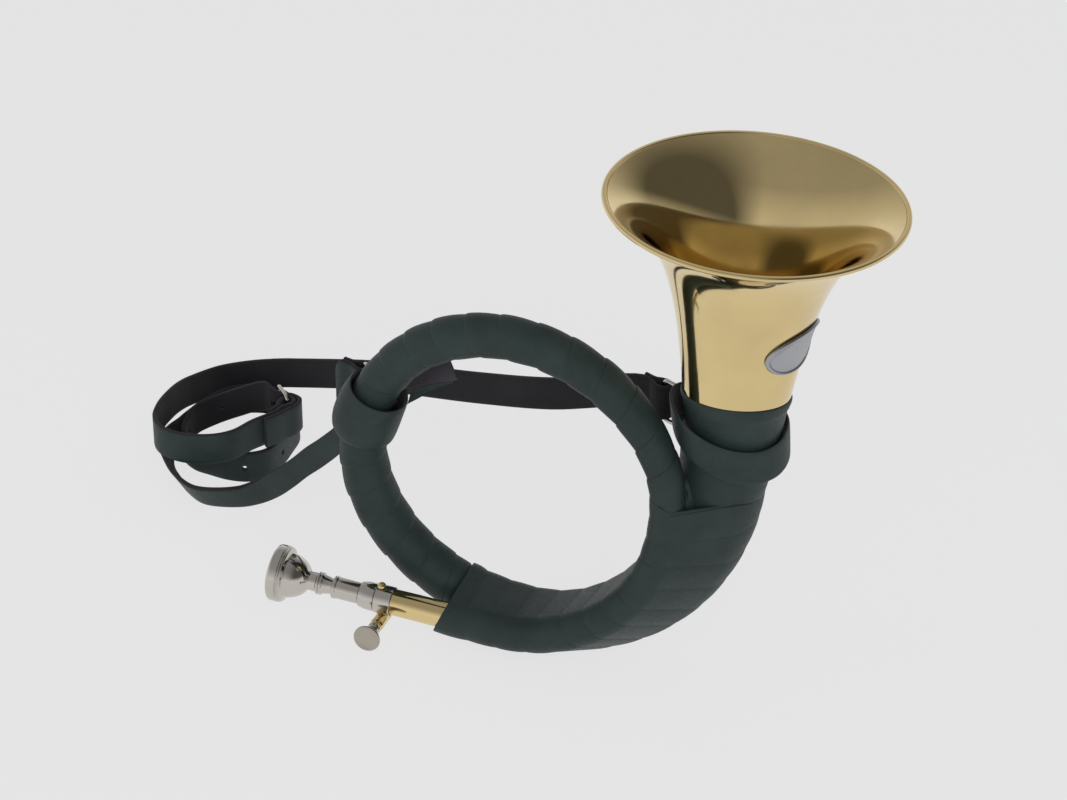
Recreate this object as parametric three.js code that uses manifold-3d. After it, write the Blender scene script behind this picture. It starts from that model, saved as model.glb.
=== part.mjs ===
// Hunting horn: one coil of brass tube bound in leather, a bell that opens upward,
// a mouthpiece in a tuning slide with a thumb screw, and a leather shoulder strap.
// Millimetres, +Z up. The origin is the centre of the coil, which lies in the XZ plane.
// The mouthpiece points along -X, and the leadpipe passes on the -Y side of the coil.

import * as THREE from 'three';
import { mergeVertices } from 'three/addons/utils/BufferGeometryUtils.js';
import Module from 'manifold-3d';

const wasm = await Module();
wasm.setup();

// Driving sizes shared by several pieces
const seatGap = 0.3;
const slideGap = 0.3;
const wall = 0.6;
const overrun = 2;

// Coil: the tube's centreline in polar form, from the leadpipe's tangent point to the bell branch
const coilRadius = 75;
const frontDepth = 11.7;
const backDepth = 13.8;
const leadRadius = 6.15;
const coilStart = -94.5;
const coilEnd = 375;
const coilJointAngle = 236;
const riseStart = -10;
const riseEnd = 256;
const settleStart = 320;
const coilAngles = [-94.5, -50, -10, 20, 50, 80, 110, 140, 170, 200, 230, 260, 285, 305, 325, 345, 365, 375];
const coilRadiusShares = [
  0.964, 0.964, 0.98, 1.014, 1.016, 1.005, 0.993, 0.987, 1.003,
  1.018, 1.022, 1.03, 1.079, 1.093, 1.111, 1.144, 1.216, 1.296,
];
const tubeRadiusShares = [
  1, 1, 1, 0.98, 1.19, 1.25, 1.27, 1.27, 1.37,
  1.5, 1.51, 1.56, 1.8, 2.05, 2.36, 2.66, 2.92, 3.03,
];

// Bell: the rim circle's centre, lean, mouth and the flare's law
const bellMouthRadius = 65;
const bellCentre = new THREE.Vector3(103.4, 10, 152);
const bellLean = 3.7;
const flareLength = 18;
const flareShare = 0.557;
const bellLength = 95;
const bellStraight = 18;
const socketDepth = 1.3;
const rimBeadRadius = 1.25;

// Leather binding: a strip wound so that each turn laps the turn before
const stripThickness = 0.5;
const lapGap = 0.62;
const lapShare = 0.2;
const coilWrapTurns = 21;
const jointWrapStart = -114;
const jointWrapEnd = 9;
const jointWrapTurns = 13;
const sleeveThickness = 0.8;
const branchPlaneShare = 1.015;

// Shoulder strap
const strapWidth = 16.6;
const strapThickness = 2.2;
const strapRest = -91;

// Facet counts
const tubeSides = 10;
const branchSides = 16;
const bellSides = 40;
const turnedSides = 20;
const wireSides = 6;

const deg = THREE.MathUtils.degToRad;
const X = new THREE.Vector3(1, 0, 0);
const Y = new THREE.Vector3(0, 1, 0);
const Z = new THREE.Vector3(0, 0, 1);

// Materials, one for each finish
const finishes = {
  brass: { color: 0xc8b27a, metalness: 1, roughness: 0.16 },
  nickel: { color: 0xb4aca2, metalness: 1, roughness: 0.22 },
  satin: { color: 0x9c948a, metalness: 1, roughness: 0.45 },
  silver: { color: 0xa8abb0, metalness: 0.9, roughness: 0.4 },
  leather: { color: 0x2c3a38, metalness: 0, roughness: 0.62 },
  suede: { color: 0x2c2a32, metalness: 0, roughness: 0.9 },
};

const horn = new THREE.Group();

function add(parent, name, geometry, finish, position, quaternion) {
  const mesh = new THREE.Mesh(geometry, new THREE.MeshStandardMaterial(finishes[finish]));
  mesh.name = name;
  if (position) mesh.position.copy(position);
  if (quaternion) mesh.quaternion.copy(quaternion);
  parent.add(mesh);
  return mesh;
}

// A closed mesh from points and triangles, with its faces turned outward
function closedGeometry(points, triangles) {
  let geometry = new THREE.BufferGeometry();
  const flat = [];
  for (const point of points) flat.push(point.x, point.y, point.z);
  geometry.setAttribute('position', new THREE.Float32BufferAttribute(flat, 3));
  geometry.setIndex(triangles);
  geometry = mergeVertices(geometry);
  return outward(geometry);
}

function outward(geometry) {
  const place = geometry.getAttribute('position');
  const index = Array.from(geometry.getIndex().array);
  const kept = [];
  const a = new THREE.Vector3();
  const b = new THREE.Vector3();
  const c = new THREE.Vector3();
  let volume = 0;
  for (let i = 0; i < index.length; i += 3) {
    const [p, q, r] = [index[i], index[i + 1], index[i + 2]];
    if (p === q || q === r || r === p) continue;
    kept.push(p, q, r);
    a.fromBufferAttribute(place, p);
    b.fromBufferAttribute(place, q);
    c.fromBufferAttribute(place, r);
    volume += a.dot(b.cross(c));
  }
  if (volume < 0) {
    for (let i = 0; i < kept.length; i += 3) [kept[i], kept[i + 1]] = [kept[i + 1], kept[i]];
  }
  geometry.setIndex(kept);
  geometry.computeVertexNormals();
  return geometry;
}

function bare(geometry) {
  const copy = geometry.clone();
  for (const name of Object.keys(copy.attributes)) {
    if (name !== 'position') copy.deleteAttribute(name);
  }
  return outward(mergeVertices(copy));
}

// Rings of equal count joined in order, and closed by the last ring meeting the first
function loftLoop(rings) {
  const count = rings[0].length;
  const triangles = [];
  for (let i = 0; i < rings.length; i += 1) {
    const next = (i + 1) % rings.length;
    for (let j = 0; j < count; j += 1) {
      const k = (j + 1) % count;
      const [a, b, c, d] = [i * count + j, next * count + j, next * count + k, i * count + k];
      triangles.push(a, b, c, a, c, d);
    }
  }
  return closedGeometry(rings.flat(), triangles);
}

// Rings of equal count joined in order, with a flat cap on each end
function loftCapped(rings) {
  const count = rings[0].length;
  const triangles = [];
  for (let i = 0; i + 1 < rings.length; i += 1) {
    for (let j = 0; j < count; j += 1) {
      const k = (j + 1) % count;
      const [a, b, c, d] = [i * count + j, (i + 1) * count + j, (i + 1) * count + k, i * count + k];
      triangles.push(a, b, c, a, c, d);
    }
  }
  const last = (rings.length - 1) * count;
  for (let j = 1; j + 1 < count; j += 1) {
    triangles.push(0, j, j + 1);
    triangles.push(last, last + j + 1, last + j);
  }
  return closedGeometry(rings.flat(), triangles);
}

// A ring of points round a centre, square to the tangent and level with the coil's plane
function ring(centre, tangent, radius, sides) {
  const radial = new THREE.Vector3().crossVectors(Y, tangent).normalize();
  const side = new THREE.Vector3().crossVectors(tangent, radial).normalize();
  const points = [];
  for (let i = 0; i < sides; i += 1) {
    const turn = (2 * Math.PI * i) / sides;
    points.push(
      centre.clone()
        .addScaledVector(radial, radius * Math.cos(turn))
        .addScaledVector(side, radius * Math.sin(turn)),
    );
  }
  return points;
}

// A turned piece: its outline is a list of [distance along the axis, radius]
function turned(outline, sides = turnedSides) {
  const points = outline.map(([along, radius]) => new THREE.Vector2(Math.max(radius, 0), along));
  return bare(new THREE.LatheGeometry(points, sides));
}

// A turned tube: the outer outline one way and the bore back, closed on itself
function turnedTube(outer, bore, sides = turnedSides) {
  return turned([...outer, ...[...bore].reverse(), outer[0]], sides);
}

function toManifold(geometry) {
  const source = bare(geometry);
  return new wasm.Manifold(new wasm.Mesh({
    numProp: 3,
    vertProperties: new Float32Array(source.getAttribute('position').array),
    triVerts: new Uint32Array(source.getIndex().array),
  }));
}

function fromManifold(manifold) {
  const mesh = manifold.getMesh();
  const geometry = new THREE.BufferGeometry();
  geometry.setAttribute('position', new THREE.BufferAttribute(new Float32Array(mesh.vertProperties), 3));
  geometry.setIndex(Array.from(mesh.triVerts));
  return bare(geometry);
}

function moved(geometry, position, quaternion) {
  const copy = geometry.clone();
  if (quaternion) copy.applyQuaternion(quaternion);
  if (position) copy.translate(position.x, position.y, position.z);
  return copy;
}

// A smooth value between the entries of a table
function between(keys, values, key) {
  const last = keys.length - 1;
  if (key <= keys[0]) return values[0];
  if (key >= keys[last]) return values[last];
  let i = 0;
  while (keys[i + 1] < key) i += 1;
  const slope = (n) => {
    const low = Math.max(n - 1, 0);
    const high = Math.min(n + 1, last);
    return (values[high] - values[low]) / (keys[high] - keys[low]);
  };
  const span = keys[i + 1] - keys[i];
  const t = (key - keys[i]) / span;
  const [t2, t3] = [t * t, t * t * t];
  return (2 * t3 - 3 * t2 + 1) * values[i] + (t3 - 2 * t2 + t) * span * slope(i)
    + (3 * t2 - 2 * t3) * values[i + 1] + (t3 - t2) * span * slope(i + 1);
}

// Where the tube's centreline is at an angle of the coil
function coilPoint(angle) {
  const radius = coilRadius * between(coilAngles, coilRadiusShares, angle);
  const rise = THREE.MathUtils.smoothstep(angle, riseStart, riseEnd);
  const settle = THREE.MathUtils.smoothstep(angle, settleStart, coilEnd);
  const depth = THREE.MathUtils.lerp(-frontDepth, backDepth, rise) + (bellCentre.y - backDepth) * settle;
  const turn = deg(angle);
  return new THREE.Vector3(radius * Math.cos(turn), depth, radius * Math.sin(turn));
}

function tubeRadius(angle) {
  return leadRadius * between(coilAngles, tubeRadiusShares, angle);
}

function coilTangent(angle) {
  const step = 0.5;
  const [before, after] = [Math.max(angle - step, coilStart), Math.min(angle + step, coilEnd)];
  return coilPoint(after).sub(coilPoint(before)).normalize();
}

// Bell axis, and the flare's radius at a distance below the rim
const bellAxis = new THREE.Vector3(Math.sin(deg(bellLean)), 0, Math.cos(deg(bellLean)));
const bellTurn = new THREE.Quaternion().setFromUnitVectors(Y, bellAxis);

function bellPoint(below) {
  return bellCentre.clone().addScaledVector(bellAxis, -below);
}

function flareRadius(below) {
  return bellMouthRadius * (flareLength / (below + flareLength)) ** flareShare;
}

// The branch's end slips into the bell's throat, so it is smaller than the flare there
function branchTopRadius(below) {
  return flareRadius(below) - socketDepth;
}

// The whole tube from the coil to the bell, as stations with a centre, a tangent and a radius
function coilStation(angle) {
  return { centre: coilPoint(angle), tangent: coilTangent(angle), radius: tubeRadius(angle) };
}

function branchStations(steps) {
  const start = coilPoint(coilEnd);
  const end = bellPoint(bellLength + bellStraight);
  const reach = start.distanceTo(end) / 3;
  const tangent = coilTangent(coilEnd);
  const curve = new THREE.CubicBezierCurve3(
    start,
    start.clone().addScaledVector(tangent, reach),
    end.clone().addScaledVector(bellAxis, -reach),
    end,
  );
  const stations = [];
  const first = tubeRadius(coilEnd);
  const last = branchTopRadius(bellLength + bellStraight);
  for (let i = 1; i <= steps; i += 1) {
    const share = i / steps;
    stations.push({
      centre: curve.getPoint(share),
      tangent: curve.getTangent(share),
      radius: THREE.MathUtils.lerp(first, last, share),
    });
  }
  return stations;
}

function straightBellStations(steps, stop) {
  const stations = [];
  for (let i = 1; i <= steps; i += 1) {
    const below = THREE.MathUtils.lerp(bellLength + bellStraight, stop, i / steps);
    stations.push({ centre: bellPoint(below), tangent: bellAxis, radius: branchTopRadius(below) });
  }
  return stations;
}

function boredTube(stations, thickness, sides) {
  const outer = stations.map((s) => ring(s.centre, s.tangent, s.radius, sides));
  const inner = stations.map((s) => ring(s.centre, s.tangent, s.radius - thickness, sides));
  return loftLoop([...outer, ...inner.reverse()]);
}

function angleRange(start, end, steps) {
  return Array.from({ length: steps + 1 }, (_, i) => THREE.MathUtils.lerp(start, end, i / steps));
}

// The brass tube of the coil, and the branch that leads to the bell
const coilTubeSteps = 38;
const branchCoilSteps = 18;
const bendSteps = 3;
const straightSteps = 2;
const jointSlack = THREE.MathUtils.radToDeg(seatGap / coilRadius);

const coilStations = angleRange(coilStart, coilJointAngle - jointSlack, coilTubeSteps).map(coilStation);
add(horn, 'coil_tube', boredTube(coilStations, wall, tubeSides), 'brass');

const branchRun = [
  ...angleRange(coilJointAngle, coilEnd, branchCoilSteps).map(coilStation),
  ...branchStations(bendSteps),
  ...straightBellStations(straightSteps, bellLength + seatGap),
];
add(horn, 'bell_branch', boredTube(branchRun, wall, branchSides), 'brass');

// Bell: a spun flare with its law from the rim down, and the wired bead round its lip
const flareStopShares = [0, 0.02, 0.05, 0.09, 0.15, 0.23, 0.34, 0.49, 0.7, 1];
const lipRadius = bellMouthRadius - 2 * rimBeadRadius - seatGap;
const lipDrop = flareLength * ((bellMouthRadius / lipRadius) ** (1 / flareShare) - 1);

function flareLean(below) {
  return Math.atan((flareShare * flareRadius(below)) / (below + flareLength));
}

function bellOutline(inset) {
  return flareStopShares.map((share) => {
    const below = THREE.MathUtils.lerp(lipDrop, bellLength, share);
    const lean = flareLean(below);
    return [-below + inset * Math.sin(lean), flareRadius(below) - inset * Math.cos(lean)];
  });
}

const bellOuter = bellOutline(0).reverse();
const bellInner = bellOutline(wall).reverse();
bellInner[0][0] = bellOuter[0][0];
add(horn, 'bell', turnedTube(bellOuter, bellInner, bellSides), 'brass', bellCentre, bellTurn);

// The bead is a wire rolled into the lip, ground to a narrow flat on its front
const beadSides = 8;
const beadLandShare = 0.8;
const beadCentreRadius = bellMouthRadius - rimBeadRadius;
const beadOutline = [];
for (let i = 0; i < beadSides; i += 1) {
  const turn = (2 * Math.PI * (i + 0.5)) / beadSides;
  const up = Math.min(Math.sin(turn), beadLandShare);
  beadOutline.push([up * rimBeadRadius - rimBeadRadius, beadCentreRadius + rimBeadRadius * Math.cos(turn)]);
}
const bead = turned([...beadOutline, beadOutline[0]], bellSides);
add(horn, 'bell_rim_bead', bead, 'brass', bellCentre, bellTurn);

// Badge: an oval plate bent to the flare, with a raised border round a bare field
const badgeBelow = 60.3;
const badgeAzimuth = -17;
const badgeTilt = 3.7;
const badgeHalfLength = 19.6;
const badgeHalfWidth = 10.7;
const badgePlate = 0.9;
const badgeBorder = 0.5;
const badgeSides = 24;
const badgeBackShares = [0.15, 0.45, 0.73, 1];
const badgeStepShares = [[1, 0.1], [0.95, 1], [0.89, 1], [0.85, 0], [0.5, 0], [0.15, 0]];

function onBell(below, azimuth, height) {
  const lean = flareLean(below);
  const turn = deg(azimuth);
  const across = new THREE.Vector3(Math.cos(turn), 0, -Math.sin(turn)).applyQuaternion(bellTurn);
  return bellPoint(below + height * Math.sin(lean))
    .addScaledVector(across, flareRadius(below) + height * Math.cos(lean));
}

function badgeRing(share, height) {
  const points = [];
  const around = THREE.MathUtils.radToDeg(1 / flareRadius(badgeBelow));
  for (let i = 0; i < badgeSides; i += 1) {
    const turn = (2 * Math.PI * i) / badgeSides;
    const [u, v] = [badgeHalfLength * share * Math.cos(turn), badgeHalfWidth * share * Math.sin(turn)];
    const [c, s] = [Math.cos(deg(badgeTilt)), Math.sin(deg(badgeTilt))];
    points.push(onBell(badgeBelow - (u * s + v * c), badgeAzimuth + (u * c - v * s) * around, height));
  }
  return points;
}

const badgeSag = flareRadius(badgeBelow) * (1 - Math.cos(Math.PI / bellSides));
const badgeBase = seatGap + 1.5 * badgeSag;
const badgeRings = [
  ...badgeBackShares.map((share) => badgeRing(share, badgeBase)),
  ...badgeStepShares.map(([share, rise]) => badgeRing(share, badgeBase + badgePlate + rise * badgeBorder)),
];
add(horn, 'badge', loftCapped(badgeRings), 'silver');

// Leadpipe and tuning slide: a group whose Y axis runs from the coil towards the mouthpiece
const leadDirection = new THREE.Vector3(Math.sin(deg(coilStart)), 0, -Math.cos(deg(coilStart)));
const slideGroup = new THREE.Group();
slideGroup.position.copy(coilPoint(coilStart));
slideGroup.quaternion.setFromUnitVectors(Y, leadDirection);
horn.add(slideGroup);

const leadpipeLength = 56;
const leadpipeBore = 5.2;
const clampFerruleStart = 49.4;
const clampFerruleLength = 7.8;
const slideFerruleLength = 7.6;
const slideTubeRadius = leadpipeBore - slideGap;
const slideTubeInside = 30;
const slideTubeBore = 3.7;
const receiverLength = 13;
const receiverRadius = 5;
const receiverBore = 4.2;
const clampFerruleEnd = clampFerruleStart + clampFerruleLength;
const slideFerruleStart = clampFerruleEnd + seatGap;
const slideFerruleEnd = slideFerruleStart + slideFerruleLength;
const receiverStart = slideFerruleEnd + seatGap;
const receiverEnd = receiverStart + receiverLength;

const leadpipe = turnedTube(
  [[seatGap, leadRadius], [leadpipeLength, leadRadius]],
  [[seatGap, leadpipeBore], [leadpipeLength, leadpipeBore]],
);
add(slideGroup, 'leadpipe', leadpipe, 'brass');

function ferruleOutline(start, length, low, high, shares) {
  return shares.map(([along, swell]) => [start + along * length, THREE.MathUtils.lerp(low, high, swell)]);
}

// Clamp: a split ferrule on the leadpipe's mouth, with a brass barrel across it for the screw
const clampGroup = new THREE.Group();
const clampRoll = 9;
clampGroup.rotation.y = deg(clampRoll);
slideGroup.add(clampGroup);

const ferruleSwell = 6.9;
const ferruleBore = leadRadius + seatGap;
const ferruleShares = [[0, 0.1], [0.16, 0.55], [0.42, 1], [0.72, 0.9], [1, 0.35]];
const splitWidth = 0.8;
const barrelRadius = 3.2;
const barrelBack = 3;
const barrelFront = 11;
const barrelDrop = 8.4;
const screwRadius = 1.5;
const screwHole = screwRadius + seatGap;
const barrelAlong = clampFerruleStart + clampFerruleLength / 2;
const barrelCentre = new THREE.Vector3(0, barrelAlong, -barrelDrop);
const acrossTurn = new THREE.Quaternion().setFromUnitVectors(Y, X.clone().negate());
const cutterSides = 40;

const split = moved(
  new THREE.BoxGeometry(splitWidth, clampFerruleLength + 2 * overrun, barrelDrop + barrelRadius + overrun),
  new THREE.Vector3(0, barrelAlong, -(barrelDrop + barrelRadius + overrun) / 2),
);
const ferruleBody = turnedTube(
  ferruleOutline(clampFerruleStart, clampFerruleLength, leadRadius + wall, ferruleSwell, ferruleShares),
  [[clampFerruleStart, ferruleBore], [clampFerruleEnd, ferruleBore]],
);
const splitFerrule = fromManifold(toManifold(ferruleBody).subtract(toManifold(split)));
add(clampGroup, 'clamp_ferrule', splitFerrule, 'nickel');

const ferruleCutter = turned([
  [clampFerruleStart - overrun, 0],
  [clampFerruleStart - overrun, ferruleSwell + seatGap],
  [clampFerruleEnd + overrun, ferruleSwell + seatGap],
  [clampFerruleEnd + overrun, 0],
], cutterSides);

function clampLug(outline) {
  const ends = [outline[0][0], outline[outline.length - 1][0]];
  const body = turnedTube(outline, [[ends[0], screwHole], [ends[1], screwHole]]);
  const placed = moved(body, barrelCentre, acrossTurn);
  return fromManifold(toManifold(placed).subtract(toManifold(ferruleCutter)));
}

const frontLugShares = [[0, 1], [0.88, 1], [0.96, 0.86], [1, 0.86]];
const frontLugStart = splitWidth / 2;
const frontLugOutline = frontLugShares.map(
  ([along, radius]) => [THREE.MathUtils.lerp(frontLugStart, barrelFront, along), radius * barrelRadius],
);
const backLugShares = [[0, 0.72], [0.3, 1], [1, 1]];
const backLugOutline = backLugShares.map(
  ([along, radius]) => [THREE.MathUtils.lerp(-barrelBack, -splitWidth / 2, along), radius * barrelRadius],
);
add(clampGroup, 'clamp_lug_front', clampLug(frontLugOutline), 'brass');
add(clampGroup, 'clamp_lug_back', clampLug(backLugOutline), 'brass');

// Thumb screw: a shank in the barrel, a neck and a dished round head, with a loose bead collar
const screwTipInside = 2.2;
const clampCollarLength = 3.4;
const clampCollarRadius = 3;
const neckLength = 4.6;
const neckRadius = 1.8;
const headRadius = 6.3;
const headThickness = 3.2;
const headDish = 1.5;
const collarStart = barrelFront + seatGap;
const neckStart = collarStart + clampCollarLength + seatGap;
const headStart = neckStart + neckLength;
const headEnd = headStart + headThickness;
const neckShares = [[0, 1.25], [0.5, 1], [1, 1.4]];
const headShares = [[0.12, 0.42], [0.36, 0.76], [0.62, 0.96], [0.84, 1], [1, 0.92]];
const dishShares = [[0.5, 0.62], [1, 0]];
const thumbScrew = turned([
  [-screwTipInside, 0],
  [-screwTipInside, screwRadius],
  [neckStart, screwRadius],
  ...neckShares.map(([along, radius]) => [neckStart + along * neckLength, radius * neckRadius]),
  ...headShares.map(([along, radius]) => [headStart + along * headThickness, radius * headRadius]),
  ...dishShares.map(([depth, radius]) => [headEnd - depth * headDish, radius * headRadius]),
]);
add(clampGroup, 'thumb_screw', thumbScrew, 'satin', barrelCentre, acrossTurn);

const collarShares = [[0, 0.84], [0.22, 1], [0.62, 1], [1, 0.78]];
const clampCollar = turnedTube(
  collarShares.map(([along, radius]) => [
    collarStart + along * clampCollarLength,
    radius * clampCollarRadius,
  ]),
  [[collarStart, screwHole], [collarStart + clampCollarLength, screwHole]],
);
add(clampGroup, 'clamp_collar', clampCollar, 'nickel', barrelCentre, acrossTurn);

// Stop nub: a small half-round pin on top of the clamp ferrule
const nubRadius = 2;
const nubHeight = 2.2;
const nubShares = [[0, 1], [0.35, 1], [0.7, 0.78], [0.92, 0.42], [1, 0]];
const nubOutline = [[0, 0], ...nubShares.map(([up, radius]) => [up * nubHeight, radius * nubRadius])];
const nubTurn = new THREE.Quaternion().setFromUnitVectors(Y, Z);
const nubPlace = new THREE.Vector3(0, clampFerruleEnd - nubRadius, ferruleSwell + seatGap);
add(slideGroup, 'stop_nub', turned(nubOutline, tubeSides), 'brass', nubPlace, nubTurn);

// Tuning slide: inner tube, swelling ferrule and the mouthpiece receiver
const slideTubeEnds = [leadpipeLength - slideTubeInside, slideFerruleEnd - seatGap];
const slideTube = turnedTube(
  slideTubeEnds.map((end) => [end, slideTubeRadius]),
  slideTubeEnds.map((end) => [end, slideTubeBore]),
);
add(slideGroup, 'slide_tube', slideTube, 'nickel');

const slideFerruleSwell = 6.6;
const slideFerruleShares = [[0, 0.75], [0.3, 1], [0.62, 0.8], [0.86, 0.3], [1, 0]];
const slideFerruleBore = slideTubeRadius + seatGap;
const slideFerruleLow = slideFerruleBore + wall;
const slideFerrule = turnedTube(
  ferruleOutline(
    slideFerruleStart,
    slideFerruleLength,
    slideFerruleLow,
    slideFerruleSwell,
    slideFerruleShares,
  ),
  [[slideFerruleStart, slideFerruleBore], [slideFerruleEnd, slideFerruleBore]],
);
add(slideGroup, 'slide_ferrule', slideFerrule, 'nickel');

const receiverLip = 0.35;
const receiverTaper = 0.9;
const receiverShares = [[0, 0], [0.84, 0], [0.87, 1], [0.97, 1], [1, 0]];
const receiver = turnedTube(
  receiverShares.map(([along, lip]) => [
    receiverStart + along * receiverLength,
    receiverRadius + lip * receiverLip,
  ]),
  [[receiverStart, receiverBore * receiverTaper], [receiverEnd, receiverBore]],
);
add(slideGroup, 'mouthpiece_receiver', receiver, 'nickel');

// Mouthpiece: rim, cup, beads and shank outside; cup, throat and backbore inside
const rimRadius = 13.3;
const rimWidth = 4.2;
const mouthpieceShown = 29.6;
const shankInside = 11;
const shankRadius = receiverBore * receiverTaper - slideGap;
const cupDepth = 11;
const throatRadius = 1.9;
const rimFace = receiverEnd + mouthpieceShown;
const cupRadius = rimRadius - rimWidth;
const mouthpieceShares = [
  [0, 0.82], [0.008, 0.9], [0.03, 0.975], [0.06, 1], [0.14, 1], [0.15, 0.955], [0.165, 0.955], [0.172, 0.925],
  [0.185, 0.945], [0.2, 0.91], [0.215, 0.86], [0.27, 0.815], [0.34, 0.74], [0.41, 0.645],
  [0.47, 0.54], [0.52, 0.43], [0.545, 0.36], [0.555, 0.395], [0.575, 0.395], [0.59, 0.335],
  [0.66, 0.33], [0.73, 0.35], [0.75, 0.4], [0.775, 0.4], [0.787, 0.355], [0.8, 0.395],
  [0.825, 0.385], [0.84, 0.335], [0.9, 0.31],
];
const cupShares = [[0.06, 1], [0.2, 0.94], [0.5, 0.83], [0.75, 0.6], [0.92, 0.34], [1.1, 0.21], [1.5, 0.21]];
const mouthpiece = turnedTube(
  [
    ...mouthpieceShares.map(([along, radius]) => [rimFace - along * mouthpieceShown, radius * rimRadius]),
    [receiverEnd + seatGap, shankRadius],
    [receiverEnd - shankInside, shankRadius * receiverTaper],
  ],
  [
    [rimFace, cupRadius + rimWidth * 0.12],
    ...cupShares.map(([along, radius]) => [rimFace - along * cupDepth, radius * cupRadius]),
    [receiverEnd - shankInside, shankRadius * receiverTaper - wall],
  ],
);
add(slideGroup, 'mouthpiece', mouthpiece, 'nickel');

// Leather binding on the single tube: a strip wound as a lapped spiral, in one unbroken piece.
// Across the strip the surface climbs by one thickness and one lap gap for each pitch, so each
// turn lies on the turn after it. The first and last turns are trimmed square.
function surfaceOnCoil(angle, turn, height) {
  const station = coilStation(angle);
  const radial = new THREE.Vector3().crossVectors(Y, station.tangent).normalize();
  const side = new THREE.Vector3().crossVectors(station.tangent, radial).normalize();
  return station.centre
    .addScaledVector(radial, (station.radius + height) * Math.cos(turn))
    .addScaledVector(side, (station.radius + height) * Math.sin(turn));
}

function lappedStrip(surface, start, end, turns, stepsPerTurn, baseHeight) {
  const pitch = (end - start) / (turns - 1 + lapShare);
  const width = pitch * (1 + lapShare);
  const climb = (stripThickness + lapGap) / pitch;
  const rings = [];
  for (let i = 0; i <= turns * stepsPerTurn; i += 1) {
    const turn = (2 * Math.PI * i) / stepsPerTurn;
    const low = start - pitch + (pitch * i) / stepsPerTurn;
    const near = Math.max(low, start);
    const far = Math.min(low + width, end);
    const inner = [near, (near + far) / 2, far].map((at) => [at, baseHeight + climb * (at - low)]);
    const outer = inner.map(([at, height]) => [at, height + stripThickness]).reverse();
    rings.push([...inner, ...outer].map(([at, height]) => surface(at, turn, height)));
  }
  return rings;
}

function gapToLine(points, line) {
  let least = Infinity;
  for (let i = 0; i + 1 < line.length; i += 1) {
    const part = new THREE.Line3(line[i], line[i + 1]);
    for (const point of points) {
      const nearest = part.closestPointToPoint(point, true, new THREE.Vector3());
      least = Math.min(least, nearest.distanceTo(point));
    }
  }
  return least;
}

// The least gap from a wound strip to its own next turn, from the corners of both sections
function leastGap(rings, stepsPerTurn) {
  let least = Infinity;
  for (let i = 0; i + stepsPerTurn < rings.length; i += 1) {
    const under = rings[i].slice(0, 3);
    const over = rings[i + stepsPerTurn].slice(3);
    least = Math.min(least, gapToLine(under, over), gapToLine(over, under));
  }
  return least;
}

const coilStripSteps = 12;
const jointStripSteps = 16;

function facetSag(radius, steps) {
  return radius * (1 / Math.cos(Math.PI / steps) - 1);
}

// How far a flat half of the strip cuts the corner where the tube bends
function bendSag(angle, radius) {
  return (radius * deg(angle) ** 2) / 8;
}

const wrapSlack = THREE.MathUtils.radToDeg(2 * seatGap / coilRadius);
const stripHalfAngle = (jointWrapEnd - jointWrapStart) / jointWrapTurns / 2;
const coilStrip = lappedStrip(
  surfaceOnCoil,
  jointWrapEnd + wrapSlack,
  jointWrapStart + 360 - wrapSlack,
  coilWrapTurns,
  coilStripSteps,
  seatGap + facetSag(tubeRadius(coilJointAngle), coilStripSteps) + bendSag(stripHalfAngle, coilRadius),
);
console.log('coil wrap, least gap to itself', leastGap(coilStrip, coilStripSteps).toFixed(2), 'mm');
add(horn, 'coil_wrap', loftCapped(coilStrip), 'leather');

// Leather binding over both tubes at the bottom and right: the strip goes round the outline of
// the two tubes together, found in the plane through the coil's axis
function tubeInPlane(angle, straight) {
  const used = straight ? coilStart : angle;
  const point = coilPoint(used);
  const tangent = coilTangent(used);
  const turn = deg(used);
  const outward = new THREE.Vector3(Math.cos(turn), 0, Math.sin(turn));
  const along = new THREE.Vector3(-Math.sin(turn), 0, Math.cos(turn));
  const forward = Math.abs(tangent.dot(along));
  const lean = straight ? deg(coilStart - angle) : 0;
  return {
    across: Math.hypot(point.x, point.z) / Math.cos(lean),
    depth: point.y,
    radius: tubeRadius(used),
    wide: tubeRadius(used) * Math.hypot(1, tangent.dot(outward) / forward) / Math.cos(lean),
    deep: tubeRadius(used) * Math.hypot(1, tangent.y / forward),
  };
}

function surfaceOnPair(angle, turn, height) {
  const [outward, deeper] = [Math.cos(turn), Math.sin(turn)];
  let best = null;
  for (const tube of [tubeInPlane(angle, angle < coilStart), tubeInPlane(angle + 360, false)]) {
    const half = Math.hypot(tube.wide * outward, tube.deep * deeper);
    const reach = tube.across * outward + tube.depth * deeper + half;
    if (!best || reach > best.reach) best = { reach, half, tube };
  }
  const { tube, half } = best;
  const across = tube.across + (tube.wide ** 2 * outward) / half + height * outward;
  const depth = tube.depth + (tube.deep ** 2 * deeper) / half + height * deeper;
  return new THREE.Vector3(across * Math.cos(deg(angle)), depth, across * Math.sin(deg(angle)));
}

const jointStrip = lappedStrip(
  surfaceOnPair,
  jointWrapStart,
  jointWrapEnd,
  jointWrapTurns,
  jointStripSteps,
  2.5 * seatGap + facetSag(tubeRadius(360), jointStripSteps) + bendSag(stripHalfAngle, coilRadius),
);
console.log('joint wrap, least gap to itself', leastGap(jointStrip, jointStripSteps).toFixed(2), 'mm');
add(horn, 'joint_wrap', loftCapped(jointStrip), 'leather');

// Leather sleeve on the branch above the joint wrap, and the smooth cuff at the bell's foot
function sleeve(stations, clearance, thickness, sides) {
  const fit = 1 / Math.cos(Math.PI / sides);
  const rise = clearance + thickness;
  const outer = stations.map((s) => ring(s.centre, s.tangent, (s.radius + rise) * fit, sides));
  const inner = stations.map((s) => ring(s.centre, s.tangent, (s.radius + clearance) * fit, sides));
  return loftLoop([...outer, ...inner.reverse()]);
}

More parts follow.
